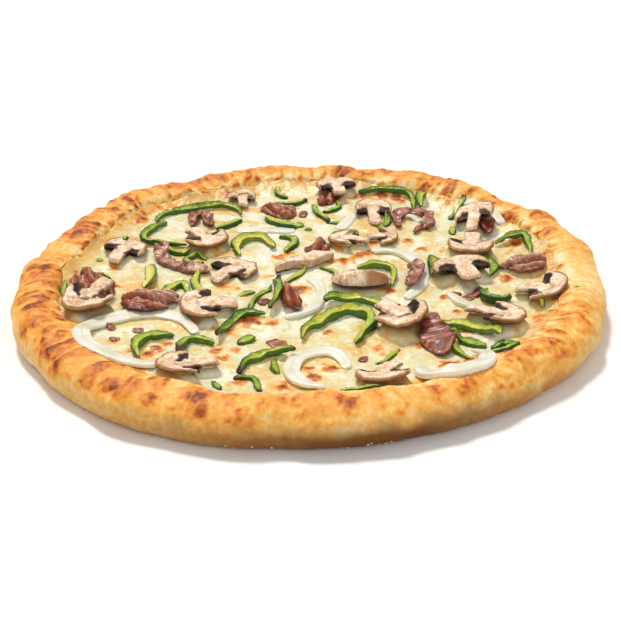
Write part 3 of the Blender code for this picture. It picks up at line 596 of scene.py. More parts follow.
def green_pepper():
    """Cooked bell pepper: moist yellow-green flesh, a thin dark waxy skin, ends charred black."""
    made, tree, place, tone, skin, char = new_material("green_pepper", "tone", "skin", "char")
    streak = add_node(tree, "TexNoise", {}, {
        "Vector": place, "Scale": per_metre(2.0), "Detail": 5.0, "Roughness": 0.68})
    ripe = add_node(tree, "Math", TIMES_PLUS, {0: streak, 1: 0.95, 2: tone})
    flesh = add_node(tree, "ValToRGB", {"stops": (
        (0.32, "#2F5A0D"), (0.48, "#5F871B"), (0.62, "#8EAE27"), (0.76, "#B9C73D"), (0.88, "#D3C738"),
        (1.0, "#E6DD78"))}, {"Fac": ripe})
    rind = add_node(tree, "ValToRGB", {"stops": (
        (0.0, "#1D420C"), (0.4, "#3A6C13"), (0.6, "#7A8B1C"), (0.75, "#C4BD3C"))}, {"Fac": tone})
    green = add_node(tree, "Mix", COLOURS, {"Factor": skin, "A": flesh, "B": rind})
    heat = add_node(tree, "Math", TIMES_PLUS, {0: streak, 1: 0.9, 2: char})
    burnt = add_node(tree, "MapRange", EASED, {"Value": heat, "From Min": 0.75, "From Max": 1.3})
    colour = add_node(tree, "Mix", COLOURS, {"Factor": burnt, "A": green, "B": srgb("#33210F")})
    return finished(made, colour, streak, 0.5, 1.0, {
        "Roughness": 0.4, "IOR": 1.4, "Coat Weight": 0.15, "Coat Roughness": 0.15,
        "Subsurface Weight": 0.15, "Subsurface Scale": 0.002, "Subsurface Radius": (0.6, 1.0, 0.2)})


def white_onion():
    """Cooked white onion: wet, smooth and glassy, with a faint line or two along its layers."""
    made, tree, place, layer, brown = new_material("white_onion", "layer", "brown")
    drift = add_node(tree, "TexNoise", {}, {"Vector": place, "Scale": per_metre(14), "Detail": 3.0})
    bent = add_node(tree, "Math", TIMES_PLUS, {0: drift, 1: 3.0, 2: layer})
    wave = add_node(tree, "Math", {"operation": "SINE"}, {0: bent})
    line = add_node(tree, "MapRange", EASED, {
        "Value": wave, "From Min": 0.8, "From Max": 1.0, "To Max": 0.35})
    pale = add_node(tree, "ValToRGB", {"stops": (
        (0.3, "#F6F6EE"), (0.5, "#EDECDC"), (0.7, "#E2DDBE"))}, {"Fac": drift})
    lined = add_node(tree, "Mix", COLOURS, {"Factor": line, "A": pale, "B": srgb("#C9C3A0")})
    colour = add_node(tree, "Mix", COLOURS, {"Factor": brown, "A": lined, "B": srgb("#A8642A")})
    return finished(made, colour, line, 0.2, 0.5, {
        "Roughness": 0.24, "IOR": 1.38, "Coat Weight": 0.2, "Coat Roughness": 0.1,
        "Subsurface Weight": 0.4, "Subsurface Scale": 0.003, "Subsurface Radius": (1.0, 0.97, 0.8)})


def cured_ham():
    """Cured ham baked in crumpled slices: greasy, with painted shade dark red in its creases and
    painted light on their crests, paler and purple where less baked."""
    made, tree, place, pale, ridge = new_material("cured_ham", "pale", "ridge")
    grain = add_node(tree, "TexNoise", {}, {
        "Vector": place, "Scale": per_metre(2.2), "Detail": 5.0, "Roughness": 0.65})
    # Painted light and shade: lighter on crests, darker in creases and beneath, varied by grain.
    height = add_node(tree, "Math", TIMES_PLUS, {0: grain, 1: 0.7, 2: ridge})
    deep = add_node(tree, "ValToRGB", {"stops": (
        (0.20, "#360F06"), (0.38, "#752612"), (0.56, "#9E4523"), (0.78, "#C47F4C"))}, {"Fac": height})
    light = add_node(tree, "ValToRGB", {"stops": (
        (0.20, "#50231C"), (0.38, "#925442"), (0.56, "#BC876D"), (0.76, "#E4BE9F"))}, {"Fac": height})
    colour = add_node(tree, "Mix", COLOURS, {"Factor": pale, "A": deep, "B": light})
    return finished(made, colour, grain, 0.5, 1.0, {
        "Roughness": 0.34, "IOR": 1.42, "Coat Weight": 0.2, "Coat Roughness": 0.2,
        "Subsurface Weight": 0.06, "Subsurface Scale": 0.002})


def sliced_mushroom():
    """Sliced white mushroom, baked: dry tan flesh with fine fibres, a browner skin and near-black
    dull gills that stain the flesh round them."""
    made, tree, place, gill, rind, across, along = new_material(
        "sliced_mushroom", "gill", "rind", "across", "along")
    grain_place = add_node(tree, "CombineXYZ", {}, {"X": across, "Y": along})
    fibre = add_node(tree, "TexNoise", {}, {
        "Vector": grain_place, "Scale": 1.3, "Detail": 4.0, "Roughness": 0.65})
    blotch = add_node(tree, "TexNoise", {}, {
        "Vector": place, "Scale": per_metre(6), "Detail": 5.0, "Roughness": 0.6})
    both = add_node(tree, "Math", {"operation": "ADD"}, {0: fibre, 1: blotch})
    mean = add_node(tree, "Math", {"operation": "MULTIPLY"}, {0: both, 1: 0.5})
    face = add_node(tree, "ValToRGB", {"stops": (
        (0.36, "#AD7B50"), (0.43, "#D6AB81"), (0.50, "#F0D0AE"), (0.58, "#FDF1E0"))}, {"Fac": mean})
    skinned = add_node(tree, "Mix", COLOURS, {"Factor": rind, "A": face, "B": srgb("#A26D38")})
    stain = add_node(tree, "ValToRGB", {"stops": (
        (0.0, "#A87E5A"), (0.35, "#63402B"), (0.65, "#24140F"), (1.0, "#150B09"))}, {"Fac": gill})
    share = add_node(tree, "MapRange", EASED, {"Value": gill, "From Min": 0.02, "From Max": 0.35})
    colour = add_node(tree, "Mix", COLOURS, {"Factor": share, "A": skinned, "B": stain})
    dull = add_node(tree, "MapRange", {}, {"Value": gill, "To Min": 0.42, "To Max": 0.9})
    return finished(made, colour, fibre, 0.35, 0.6, {
        "Roughness": dull, "IOR": 1.4, "Subsurface Weight": 0.1, "Subsurface Scale": 0.002,
        "Subsurface Radius": (1.0, 0.7, 0.5)})


MATERIALS = {
    "crust": baked_dough(),
    "cheese": melted_cheese(),
    "pepper": green_pepper(),
    "onion": white_onion(),
    "ham": cured_ham(),
    "mushroom": sliced_mushroom(),
}


# Crust

def solid_rings():
    """The corners of the crust's solid as rings, from the underside out and over to the floor
    inside: by station, then by the angle about the middle of the profile."""
    corners = node_points("crust")
    radius = np.hypot(corners[:, 0], corners[:, 1])
    station = np.rint(np.arctan2(corners[:, 1], corners[:, 0]) * STATIONS / TAU).astype(int) % STATIONS
    outermost = np.zeros(STATIONS)
    np.maximum.at(outermost, station, radius)
    inward = outermost[station] - radius
    turn = np.arctan2(corners[:, 2] - PROFILE_MIDDLE[1], inward - PROFILE_MIDDLE[0])
    order = np.lexsort(((-turn - math.pi / 2) % TAU, station))
    return corners[order].reshape(STATIONS, -1, 3).transpose(1, 0, 2)


def spots_mark(points, spots):
    """The strongest of soft round spots at each point, each a bell curve of its own width."""
    strongest = np.zeros(points.shape[:-1])
    for x, y, width, strength in spots:
        away = np.hypot(points[..., 0] - x, points[..., 1] - y) / width
        strongest = np.maximum(strongest, strength * np.exp(-away**2))
    return strongest


def crust_surface():
    """The rim as a smooth curve through the rings of its solid both ways, moved along its normals
    by lumps, creases, blisters and spots. Returns the grid, its rows' ring numbers and its marks."""
    steps = [np.linspace(k, k + 1, n, endpoint=False) for k, n in enumerate(PROFILE_STEPS)]
    ring = np.concatenate([*steps, [len(PROFILE_STEPS)]])
    rows = curve_through(solid_rings(), ring)
    stations = np.arange(AROUND) * STATIONS / AROUND
    grid = curve_through(rows.transpose(1, 0, 2), stations, closed=True).transpose(1, 0, 2)
    grid[:, :, 2] = np.maximum(grid[:, :, 2], 0)

    normal = np.cross(np.gradient(grid, axis=0), np.roll(grid, -1, axis=1) - np.roll(grid, 1, axis=1))
    normal /= np.linalg.norm(normal, axis=2, keepdims=True)
    normal *= np.sign(np.sum(normal[20, :, :2] * grid[20, :, :2]))

    t = ring[:, None]
    angle = np.degrees(np.arctan2(grid[..., 1], grid[..., 0]))
    moving = smooth(0.4, 1.6, t) * (1 - smooth(10.0, 10.8, t))
    top = smooth(3.4, 4.8, t) * (1 - smooth(9.2, 10.0, t))
    bubble = np.exp(-((angle + 2) / 11) ** 2) * smooth(2, 5, t)
    front = np.exp(-((angle + 80) / 42) ** 2)
    calm = np.clip(bubble + 0.45 * front, 0, 1)

    travelled = np.cumsum(np.linalg.norm(np.gradient(grid, axis=0).mean(axis=1), axis=1))
    place = np.stack([
        stations / STATIONS * BLISTERS_AROUND + 0.4 * noise(grid, 9, 5),
        travelled[:, None] / BLISTER_LENGTH + 0.4 * noise(grid, 8, 6),
    ], axis=-1)
    away, own = scattered(place, 11, BLISTERS_AROUND)
    dome = np.clip(1 - (away / (0.35 + 0.3 * own)) ** 2, 0, 1) * (own > 0.25) * top * (1 - calm)
    away, small_own = scattered(2 * place, 12, 2 * BLISTERS_AROUND)
    small = np.clip(1 - (away / (0.25 + 0.35 * small_own)) ** 2, 0, 1) * (small_own > 0.35)
    small = small * top * (1 - 0.8 * calm)
    raw = spots_mark(grid, RIM_SPOTS)
    spot = smooth(0.25, 0.95, raw + smooth(0.1, 0.3, raw) * 0.35 * noise(grid, 2.4, 21)) * smooth(2.8, 4.0, t)

    lump = LUMP_HEIGHT * layered(grid, 13, 2, 1) * (0.3 + 0.7 * top)
    crease = -CREASE_DEPTH * (1 - np.abs(noise(grid, 7, 3))) ** 4 * top * (1 - calm)
    move = (lump + crease) * (1 - 0.6 * bubble) + PORE_HEIGHT * noise(grid, 1.8, 2)
    move = move + BLISTER_HEIGHT * dome + SMALL_BLISTER_HEIGHT * small + SPOT_HEIGHT * spot
    grid = grid + normal * (moving * move)[..., None]
    grid[:, :, 2] = np.maximum(grid[:, :, 2], 0)

    back = smooth(60, 130, np.abs(angle + 20))
    low_left = np.exp(-((np.abs(angle) - 155) / 22) ** 2) * (1 - smooth(4.5, 6.0, t))
    bake = 0.34 + 0.1 * layered(grid, 26, 2, 8) + 0.07 * layered(grid, 7, 3, 9) + 0.09 * back * top
    bake = bake + 0.2 * smooth(0, 0.6, dome) * (0.3 + own) + 0.34 * small * small_own + 0.33 * spot
    # The crease is negative, so taking it away adds bake: the dents are darker, which is painted shade.
    bake = bake - 0.1 * low_left - 0.15 * bubble - 0.05 * front - 0.1 * crease
    bake = bake - 0.36 * smooth(6.6, 8.6, t) * (1 - np.clip(spot + 0.6 * dome + small, 0, 1))
    bake = bake + 0.2 * np.exp(-((angle + 2) / 8) ** 2) * np.exp(-((t - 8.1) / 0.5) ** 2)
    # Darker low on the side: a little all round, as browned in the pan, and much more at the front, where it
    # is painted shade.
    side = (1 - smooth(2.6, 4.6, t + 0.6 * noise(grid, 12, 13))) * (0.15 + 0.85 * front)
    return grid, ring, {"bake": 0.7 * np.clip(bake, 0, 1), "side": side}


def crumb_points(grid, ring):
    """Small crumbs along the foot of the crust: a dented octahedron each, as one joined surface."""
    rng = np.random.default_rng(41)
    row = np.searchsorted(ring, 1.0)
    columns = rng.integers(0, AROUND, CRUMBS)
    rows = rng.integers(2, row + 5, CRUMBS)
    centres = grid[rows, columns]
    shape = np.array([(1, 0, 0), (0, 1, 0), (-1, 0, 0), (0, -1, 0), (0, 0, 1), (0, 0, -1)], float)
    faces = np.array([(0, 1, 4), (1, 2, 4), (2, 3, 4), (3, 0, 4), (1, 0, 5), (2, 1, 5), (3, 2, 5), (0, 3, 5)])
    sizes = CRUMB_SIZE * rng.uniform(0.4, 1.2, (CRUMBS, 1, 1))
    sizes = sizes * rng.uniform(0.7, 1.2, (CRUMBS, len(shape), 1))
    points = centres[:, None] + shape[None] * sizes
    points[..., 2] = np.maximum(points[..., 2], 0.01)
    numbered = faces[None] + len(shape) * np.arange(CRUMBS)[:, None, None]
    return points.reshape(-1, 3), [numbered.reshape(-1, 3)]


crust_grid, crust_ring, crust_marks = crust_surface()
add_piece("crust_baked", ring_surface(crust_grid), {k: ring_mark(v) for k, v in crust_marks.items()},
          "crust", ("crust",))
crumbs = crumb_points(crust_grid, crust_ring)
add_piece("crust_crumbs", crumbs, {"bake": np.full(len(crumbs[0]), 0.1), "side": np.zeros(len(crumbs[0]))},
          "crust")


# Cheese level, before the toppings are pressed into it

def cheese_level(x, y):
    """The height of the open cheese: a level with soft swells."""
    flat = np.stack([x, y], axis=-1)
    return CHEESE_TOP + 0.8 * noise(flat, 26, 31) + 0.45 * noise(flat, 11, 32)


def cheese_end(turn):
    """The points of the crust at which the cheese ends, by the share of a turn."""
    wander = np.stack([np.cos(TAU * turn), np.sin(TAU * turn)], axis=-1) * RIM_RADIUS
    stop = CHEESE_EDGE_RING + 0.32 * noise(wander, 24, 33) + 0.28 * noise(wander, 8, 34)
    stop = stop + 0.1 * noise(wander, 3, 35)
    row = np.interp(stop, crust_ring, np.arange(len(crust_ring)))
    low = np.floor(row).astype(int)
    column = np.floor(turn * AROUND).astype(int) % AROUND
    beside = (column + 1) % AROUND
    part = (row - low)[..., None]
    here = crust_grid[low, column] * (1 - part) + crust_grid[low + 1, column] * part
    there = crust_grid[low, beside] * (1 - part) + crust_grid[low + 1, beside] * part
    between = (turn * AROUND - np.floor(turn * AROUND))[..., None]
    return here + (there - here) * between


axis = np.arange(-MAP_REACH, MAP_REACH + 1.0)
map_x, map_y = np.meshgrid(axis, axis, indexing="ij")
crust_map = np.zeros((MAP_SIDE, MAP_SIDE))
np.maximum.at(crust_map, cell_numbers(crust_grid[..., 0], crust_grid[..., 1]), crust_grid[..., 2].ravel())
map_turn = (np.arctan2(map_y, map_x) / TAU) % 1
map_end = cheese_end(map_turn)
map_step = np.hypot(map_end[..., 0], map_end[..., 1]) - np.hypot(map_x, map_y)
climb = np.clip(1 - map_step / CHEESE_RISE, 0, 1) ** 2
open_cheese = cheese_level(map_x, map_y)
open_cheese = open_cheese + climb * (map_end[..., 2] - open_cheese)
ground = np.where(map_step > 0, np.maximum(open_cheese, crust_map), crust_map)
soft_ground = blurred(ground, 4.0)
topping_tops = ground.copy()
topping_bottoms = np.full((MAP_SIDE, MAP_SIDE), np.inf)
painted_shade_map = np.zeros((MAP_SIDE, MAP_SIDE))


def note_topping(points, juice=0.0):
    """Keeps the topping's top and underside in the maps, and how much painted shade it puts on the cheese."""
    cells = cell_numbers(points[:, 0], points[:, 1])
    np.maximum.at(painted_shade_map, cells, juice)
    np.maximum.at(topping_tops, cells, points[:, 2])
    np.minimum.at(topping_bottoms, cells, points[:, 2])


def lay(name, ending, rings, marks, kind):
    """Makes the piece that stands for a topping's node, and keeps its place in the maps."""
    surface = ring_surface(rings)
    note_topping(surface[0], PAINTED_SHADE_UNDER[kind])
    values = {mark: ring_mark(np.broadcast_to(value, rings.shape[:2])) for mark, value in marks.items()}
    add_piece(name + ending, surface, values, kind, (name,))


# Strips. A sum such as 100 + 9 * number is a seed of noise, so that no two pieces are alike.

SECTION_POINTS = 28
STRIP_STEP = 0.8
MOST_ROLL = math.radians(14)
CHAR_REACH = 0.3  # the share of a strip over which char fades
HAM_CREASE = 7.5  # from one crease to the next
Strip = namedtuple("Strip", "path rings across up along")


def left_side(path):
    """The direction to the left of a path at each of its points."""
    ahead = np.gradient(path, axis=0)
    ahead /= np.linalg.norm(ahead, axis=1)[:, None]
    return np.stack([-ahead[:, 1], ahead[:, 0]], axis=1)


def strip_rings(path, middle, tips, width, height, seed, squareness=0.32, rough=1.0, taper=0.2, blunt=0.15,
                groove=0.0):
    """A bar along a path. Its section is a rounded rectangle: half the width times a power of the
    cosine across, and half the height times that of the sine up, less a groove along its top. Its
    ends are slimmer by `taper` and rounded over `blunt` of the width, and its course, width,
    height, roll and surface waver. Returns the path and the rings, with how far across and up each
    point is, from -1 to 1, and how far along, from 0 to 1."""
    travelled = np.concatenate([[0], np.cumsum(np.linalg.norm(np.diff(path, axis=0), axis=1))])
    line = np.stack([travelled, np.zeros_like(travelled)], axis=1)
    side = left_side(path)
    course = path + side * (0.7 * rough * noise(line, 10, seed + 5))[:, None]
    end = np.minimum(travelled, travelled[-1] - travelled)
    size = np.sqrt(1 - (1 - np.clip(end / (blunt * width), 0.03, 1)) ** 2)
    slim = 1 - taper * (1 - smooth(0, 0.25 * travelled[-1] + 3, end))
    angle = np.linspace(0, TAU, SECTION_POINTS, endpoint=False)
    across = np.sign(np.cos(angle)) * np.abs(np.cos(angle)) ** squareness
    up = np.sign(np.sin(angle)) * np.abs(np.sin(angle)) ** squareness
    half_width = width / 2 * size * slim * (1 + 0.22 * rough * noise(line, 7, seed))
    half_height = height / 2 * size * (0.4 + 0.6 * slim) * (1 + 0.15 * rough * noise(line, 6, seed + 1))
    tilt = MOST_ROLL * rough * noise(line, 14, seed + 2)
    cos, sin = np.cos(tilt)[:, None], np.sin(tilt)[:, None]
    a = half_width[:, None] * across
    b = half_height[:, None] * up - groove * size[:, None] * np.clip(up, 0, 1) * np.exp(-(across / 0.55) ** 2)
    a, b = a * cos - b * sin, a * sin + b * cos
    rings = np.empty((len(path), SECTION_POINTS, 3))
    rings[..., :2] = course[:, None] + side[:, None] * a[..., None]
    rings[..., 2] = middle[:, None] + tips[:, None] * a + b
    dent = rough * (0.28 * noise(rings, 2.6, seed + 3) + 0.16 * noise(rings, 1.2, seed + 4)) * size[:, None]
    rings[..., :2] += side[:, None] * (dent * across)[..., None]
    rings[..., 2] += dent * up
    return Strip(path, rings, across, up, (travelled / travelled[-1])[:, None])


def node_strip(name, path, width, height, seed, lean=0.0, drape=np.inf, steepest=0.3, **more):
    """The strip that stands for a node: at the height of the solid, though no more than `drape`
    above the cheese and crust, and tipped sideways as it is, leaning a little more."""
    middle, slopes = lie_of(name, path, 4.0)
    middle = np.minimum(middle, read_map(soft_ground, path[:, 0], path[:, 1]) + height / 2 + drape)
    tips = np.clip(np.sum(slopes * left_side(path), axis=1), -steepest, steepest) + lean
    return strip_rings(path, middle, tips, width, height, seed, **more)


def bend_side(path):
    """1 where a path's outer side is its left, -1 where it is its right."""
    ahead = np.diff(path, axis=0)
    bends = ahead[:-1, 0] * ahead[1:, 1] - ahead[:-1, 1] * ahead[1:, 0]
    return -1 if bends.sum() > 0 else 1


def pepper_marks(strip, seed, tone, char_start, char_end):
    """Skin along the outer side of the bend and thinly along the other, paler flesh between them,
    and char that fades from either end."""
    outer = bend_side(strip.path) * strip.across
    along = strip.along
    wander = 0.12 * noise(strip.rings, 4, seed)
    skin = smooth(0.5, 0.8, outer + wander) + 0.9 * smooth(0.7, 0.92, wander - outer)
    skin = skin + 0.7 * smooth(0.2, 0.8, -strip.up)
    char = char_start * np.exp(-(along / CHAR_REACH) ** 2)
    char = char + char_end * np.exp(-((1 - along) / CHAR_REACH) ** 2)
    char = char + 0.3 * np.exp(-(np.minimum(along, 1 - along) / 0.03) ** 2) + 0.3 * wander
    char = char + 0.5 * smooth(0.4, 0.9, noise(strip.rings, 6, seed + 2)) * smooth(0.3, 0.9, outer)
    shade = tone + 0.2 * noise(strip.rings, 8, seed + 1) + 0.14 * noise(strip.rings, 3, seed + 3)
    shade = shade - 0.1 * outer
    return {"skin": np.clip(skin, 0, 1), "char": char, "tone": 0.6 * np.clip(shade, 0, 1) - 0.03}


def onion_marks(strip, browned=0.0):
    """Lines by how far across the band a point is, and brown along its left edge."""
    middle_part = smooth(0.15, 0.35, strip.along) * (1 - smooth(0.75, 0.95, strip.along))
    brown = browned * smooth(0.6, 0.95, strip.across) * middle_part
    return {"layer": 5 * strip.across + 0 * strip.along, "brown": brown}


def zigzag(across, size):
    """A line of sharp ridges `size` apart, from 0 in the creases to 1 on the crests."""
    return np.abs(2 * ((across / size) % 1) - 1)


def ham_marks(strip, seed, pale, creases=2.0):
    """Painted light on the crests of the creases that cross the strip, painted shade between them and
    beneath.
    """
    streak = noise(strip.rings, 5, seed)
    crest = zigzag(creases * strip.along + 0.7 * noise(strip.rings, 5, seed + 1), 1.0)
    ridge = 0.32 * crest * smooth(-0.6, 0.8, strip.up) + 0.1 * streak - 0.06
    return {"pale": np.clip(pale + 0.4 * streak, 0, 1), "ridge": ridge}


def lay_peppers():
    """Strips that lean outwards at their bends, with a groove along the top."""
    for number, (name, (width, height, points, *looks)) in enumerate(PEPPERS.items()):
        path = path_through(points, STRIP_STEP)
        strip = node_strip(
            name, path, PEPPER_SHARES[0] * width, PEPPER_SHARES[1] * height, 100 + 9 * number,
            lean=0.22 * bend_side(path), squareness=0.4, rough=1.6, groove=1.5, taper=0.5, blunt=0.4)
        lay(name, "_cut", strip.rings, pepper_marks(strip, 300 + 5 * number, *looks), "pepper")


def lay_onions():
    """Smooth flat bands laid over what is under them, a little lower along their left half."""
    for number, (name, (width, height, *arc, taper, browned)) in enumerate(ONIONS.items()):
        strip = node_strip(
            name, arc_path(*arc, STRIP_STEP), width, height, 500 + 9 * number,
            drape=0.9, steepest=0.06, squareness=0.45, rough=0.4, taper=taper, blunt=0.3)
        strip.rings[..., 2] -= 0.5 * smooth(0, 1, strip.up) * smooth(-0.1, 0.25, strip.across)
        lay(name, "_ring", strip.rings, onion_marks(strip, browned), "onion")


def lay_ham_strips():
    """Ragged strips, their creases raised as well as painted light on the crests and shade between."""
    for number, (name, (width, height, points, pale)) in enumerate(HAM_STRIPS.items()):
        path = path_through(points, STRIP_STEP)
        strip = node_strip(
            name, path, HAM_SHARES[0] * width, HAM_SHARES[1] * height, 1000 + 9 * number,
            squareness=0.3, rough=2.0, groove=1.2, taper=0.5, blunt=0.3)
        marks = ham_marks(strip, 1080 + 2 * number, pale, STRIP_STEP * len(path) / HAM_CREASE)
        crumple = noise(strip.rings, 4, 1060 + number) + 3.0 * (marks["ridge"] - 0.1)
        strip.rings[..., 2] += np.clip(strip.up, 0, 1) * crumple
        lay(name, "_folded", strip.rings, marks, "ham")


def lay_edge_slice():
    """A slice that lies on its edge, dark beneath, its fibres running across it."""
    name, width, height, points = EDGE_SLICE
    strip = node_strip(
        name, path_through(points, STRIP_STEP), width, height, 830, rough=1.4, taper=0.45)
    marks = {
        "gill": smooth(0.55, 0.95, -strip.up) * smooth(0.1, 0.5, -strip.across),
        "rind": 0.45 * smooth(0.8, 1.0, -strip.across),
        "across": strip.along * 12.0, "along": strip.up * 1.5,
    }
    lay(name, "_slice", strip.rings, marks, "mushroom")


def lay_scraps(kind, table, seed, sink, marks_of, **more):
    """Scraps of one kind as one joined piece, each laid on what is there and sunk into it by
    `sink`."""
    places, quads, triangles, values, count = [], [], [], [], 0
    for number, (width, height, points, *looks) in enumerate(table):
        path = path_through(points, STRIP_STEP)
        middle = read_map(soft_tops, path[:, 0], path[:, 1]) - sink + height / 2
        strip = strip_rings(path, middle, np.zeros(len(path)), width, height, seed + 9 * number, **more)
        surface, (four, three) = ring_surface(strip.rings)
        places.append(surface)
        quads.append(four + count)
        triangles.append(three + count)
        count += len(surface)
        marks = marks_of(strip, number, *looks)
        values.append({
            mark: ring_mark(np.broadcast_to(value, strip.rings.shape[:2])) for mark, value in marks.items()
        })
    points = np.concatenate(places)
    marks = {mark: np.concatenate([each[mark] for each in values]) for mark in values[0]}
    add_piece(kind + "_scraps", (points, [np.concatenate(quads), np.concatenate(triangles)]), marks, kind)
    note_topping(points)


# Flat pieces, made of one outline drawn in towards its middle

LUMP_SECTORS = 14  # parts of a turn, in each of which a lump's outermost corner is looked for


def flat_rings(outline, centre, thickness_round):
    """The plan of a flat piece: the outline drawn towards the middle under it, out to its edge and
    in again over it. Returns the places, and for each ring its level (0 under, 1 over), its share
    of the way out and how much its edge is rounded off."""
    under = np.array([0.06, 0.2, 0.35, 0.5, 0.65, 0.8, 0.88])
    edge = np.array([0.945, 0.985, 1.0, 0.985])
    over = np.concatenate([[0.945, 0.905, 0.86], np.linspace(0.82, 0.06, 18)])
    share = np.concatenate([under, edge, over])
    level = np.concatenate([np.zeros(len(under)), [0.15, 0.4, 0.6, 0.85], np.ones(len(over))])
    places = np.array(centre) + (outline[None] - np.array(centre)) * share[:, None, None]
    rounding = thickness_round * smooth(0.82, 1.0, share) * np.where(level > 0.5, -1, 1)
    return places, level[:, None], share[:, None], rounding[:, None]


def slice_outline(width, length, seed):
    """A mushroom cut down its middle, in its own axes: a round cap, rolled edges, a notch at the
    gills on each side and a stem, all a little uneven."""
    half, brim, stem, foot = width / 2, 0.02 * length, 0.175 * width, -0.5 * length
    bow = np.linspace(0, math.pi, 9)
    rise = (0.5 * length - brim) * np.clip(np.sin(bow), 0, 1) ** 0.85
    cap = np.stack([half * np.cos(bow), brim + rise], axis=1)
    under = np.array([
        (0.86 * half, brim - 0.14 * length), (0.58 * half, brim - 0.07 * length),
        (1.05 * stem, brim - 0.10 * length), (0.92 * stem, 0.6 * foot), (0.8 * stem, foot),
    ])
    corners = np.concatenate([cap, under * (-1, 1), under[::-1]])
    fine = curve_through(corners, np.linspace(0, len(corners), 152, endpoint=False), closed=True)
    leaning, wider = 2 * lattice(np.array([(seed, 0), (seed, 1)]), 5) - 1
    fine[:, 0] *= 1 + 0.1 * wider * np.sign(fine[:, 0])
    fine[:, 0] += 0.35 * leaning * width * np.clip(-fine[:, 1] / length, 0, 1) ** 2
    return fine * (1 + 0.055 * noise(fine, 6, seed) + 0.03 * noise(fine, 2.5, seed + 1))[:, None]


def turned(places, heading):
    """Turns places in the piece's own axes so that its cap points along `heading`."""
    turn = math.radians(heading - 90)
    return places @ np.array([[math.cos(turn), math.sin(turn)], [-math.sin(turn), math.cos(turn)]])


def lay_mushrooms():
    """Slices of a mushroom cut down its middle: level plates that curl up at the sides, their
    gills a dark sunken arch between cap and stem."""
    for number, (name, (centre, heading, width, length, gills, curl)) in enumerate(MUSHROOMS.items()):
        outline = slice_outline(width, length, 700 + 2 * number)
        local, level, share, rounding = flat_rings(outline, (0, 0), 1.3)
        u, v = local[..., 0] / (width / 2), local[..., 1] / length
        offset = turned(local, heading)
        middle, slopes = lie_of(name, np.array([centre], float), 60.0)
        plane = middle[0] + offset @ slopes[0]

        arch = 0.2 - 0.27 * u**2 + 0.08 * noise(local, 4, 780 + number)
        left, inside, right = gills
        beside = smooth(0.2, 0.4, np.abs(u) + 0.14 * noise(local, 3.5, 790 + number))
        gill = np.where(u < 0, left, right) * beside * smooth(-0.01, 0.05, arch - v)
        gill = gill * (1 - smooth(0.82, 0.95, np.abs(u))) * smooth(-0.26, -0.14, v)
        gill = gill + inside * (1 - beside) * np.exp(-((v - arch) / 0.04) ** 2)
        lamellae = 0.68 + 0.32 * zigzag(local[..., 0] + 0.5 * local[..., 1], LAMELLA_WIDTH)
        gill = np.clip(gill, 0, 1) * lamellae * (0.8 + 0.25 * noise(local, 2.6, 830 + number))

        ruffle = 0.6 * noise(local, 7, 740 + number) + 0.25 * noise(local, 2.6, 760 + number)
        bend = 1.4 * curl * (np.abs(u) ** 2.2 - 0.35) + 0.8 * np.clip(v, 0, 1) ** 2
        bend = bend + 0.7 * noise(local, 14, 800 + number)
        relief = level * (ruffle + 0.5 * smooth(0.75, 0.93, share) - GILL_DEPTH * gill)
        z = plane + (level - 0.5) * (SLICE_THICKNESS - 0.8) + relief + rounding + bend
        is_cap = smooth(-0.04, 0.08, v)
        edge = smooth(0.86, 0.97, share)
        scorched = 0.25 * smooth(0.2, 0.8, noise(local, 6, 820 + number) + 0.3 * np.abs(u) ** 3)
        marks = {
            "gill": gill, "rind": np.clip(edge * (0.45 + 0.55 * is_cap) + scorched * (1 - edge), 0, 1),
            "across": local[..., 0], "along": 0.3 * local[..., 1],
        }
        rings = np.concatenate([offset + np.array(centre), z[..., None]], axis=-1)
        lay(name, "_slice", rings, marks, "mushroom")


def lay_half_cap():
    """Half a cap rolled over on itself: a round roll along the front, low behind it, one end
    baked brown."""
    name, centre = HALF_CAP
    outline, low, high = lump_outline(name, centre)
    away = outline - np.array(centre)
    half = np.ptp(away, axis=0) / 2
    turn = np.linspace(0, TAU, len(outline), endpoint=False)
    oval = np.stack([np.cos(turn), np.sin(turn)], axis=1)
    oval = half * np.sign(oval) * np.abs(oval) ** 0.8
    places, level, share, rounding = flat_rings(outline.min(axis=0) + half + oval, centre, 1.6)
    local = places - np.array(centre)
    depth = np.ptp(outline[:, 1]) / 2
    roll = np.exp(-((local[..., 1] / depth + 0.35) / 0.5) ** 2)
    dome = np.sqrt(np.clip(1 - 0.75 * share**2, 0, 1))
    over = (0.42 + 0.58 * roll) * dome
    z = low + (high - low) * np.where(level > 0.5, over, 0.35 * level) + rounding
    z = z + level * (0.5 * noise(local, 6, 851) + 0.25 * noise(local, 2.5, 852))
    seam = np.exp(-((local[..., 1] / depth - 0.25) / 0.14) ** 2) * smooth(-0.2, 0.6, noise(local, 9, 853))
    split = np.exp(-((local[..., 0] - 4 - 0.3 * local[..., 1]) / 1.4) ** 2) * roll
    z = z - split * level - 0.8 * seam * level
    beneath = smooth(0.75, 0.25, level) * (local[..., 1] < 0)
    marks = {
        "gill": np.clip((0.7 * seam + 0.12 * split) * level + beneath, 0, 1),
        "rind": smooth(-1, 5, local[..., 0]) * (0.55 + 0.45 * roll),
        "across": 0.4 * local[..., 0], "along": 0.4 * local[..., 1],
    }
    lay(name, "_cap", np.concatenate([places, z[..., None]], axis=-1), marks, "mushroom")


def lump_outline(name, centre):
    """The outline of a lump's solid, from its outermost corner each way, and its lowest and
    highest point."""
    corners = node_points(name)
    offset = corners[:, :2] - np.array(centre)
    turn = (np.arctan2(offset[:, 1], offset[:, 0]) / TAU) % 1
    away = np.hypot(offset[:, 0], offset[:, 1])
    sector = np.floor(turn * LUMP_SECTORS).astype(int)
    members = [np.flatnonzero(sector == k) for k in np.unique(sector)]
    pick = sorted((one[np.argmax(away[one])] for one in members), key=lambda index: turn[index])
    fine = curve_through(offset[pick], np.linspace(0, len(pick), 120, endpoint=False), closed=True)
    return fine + np.array(centre), corners[:, 2].min(), corners[:, 2].max()


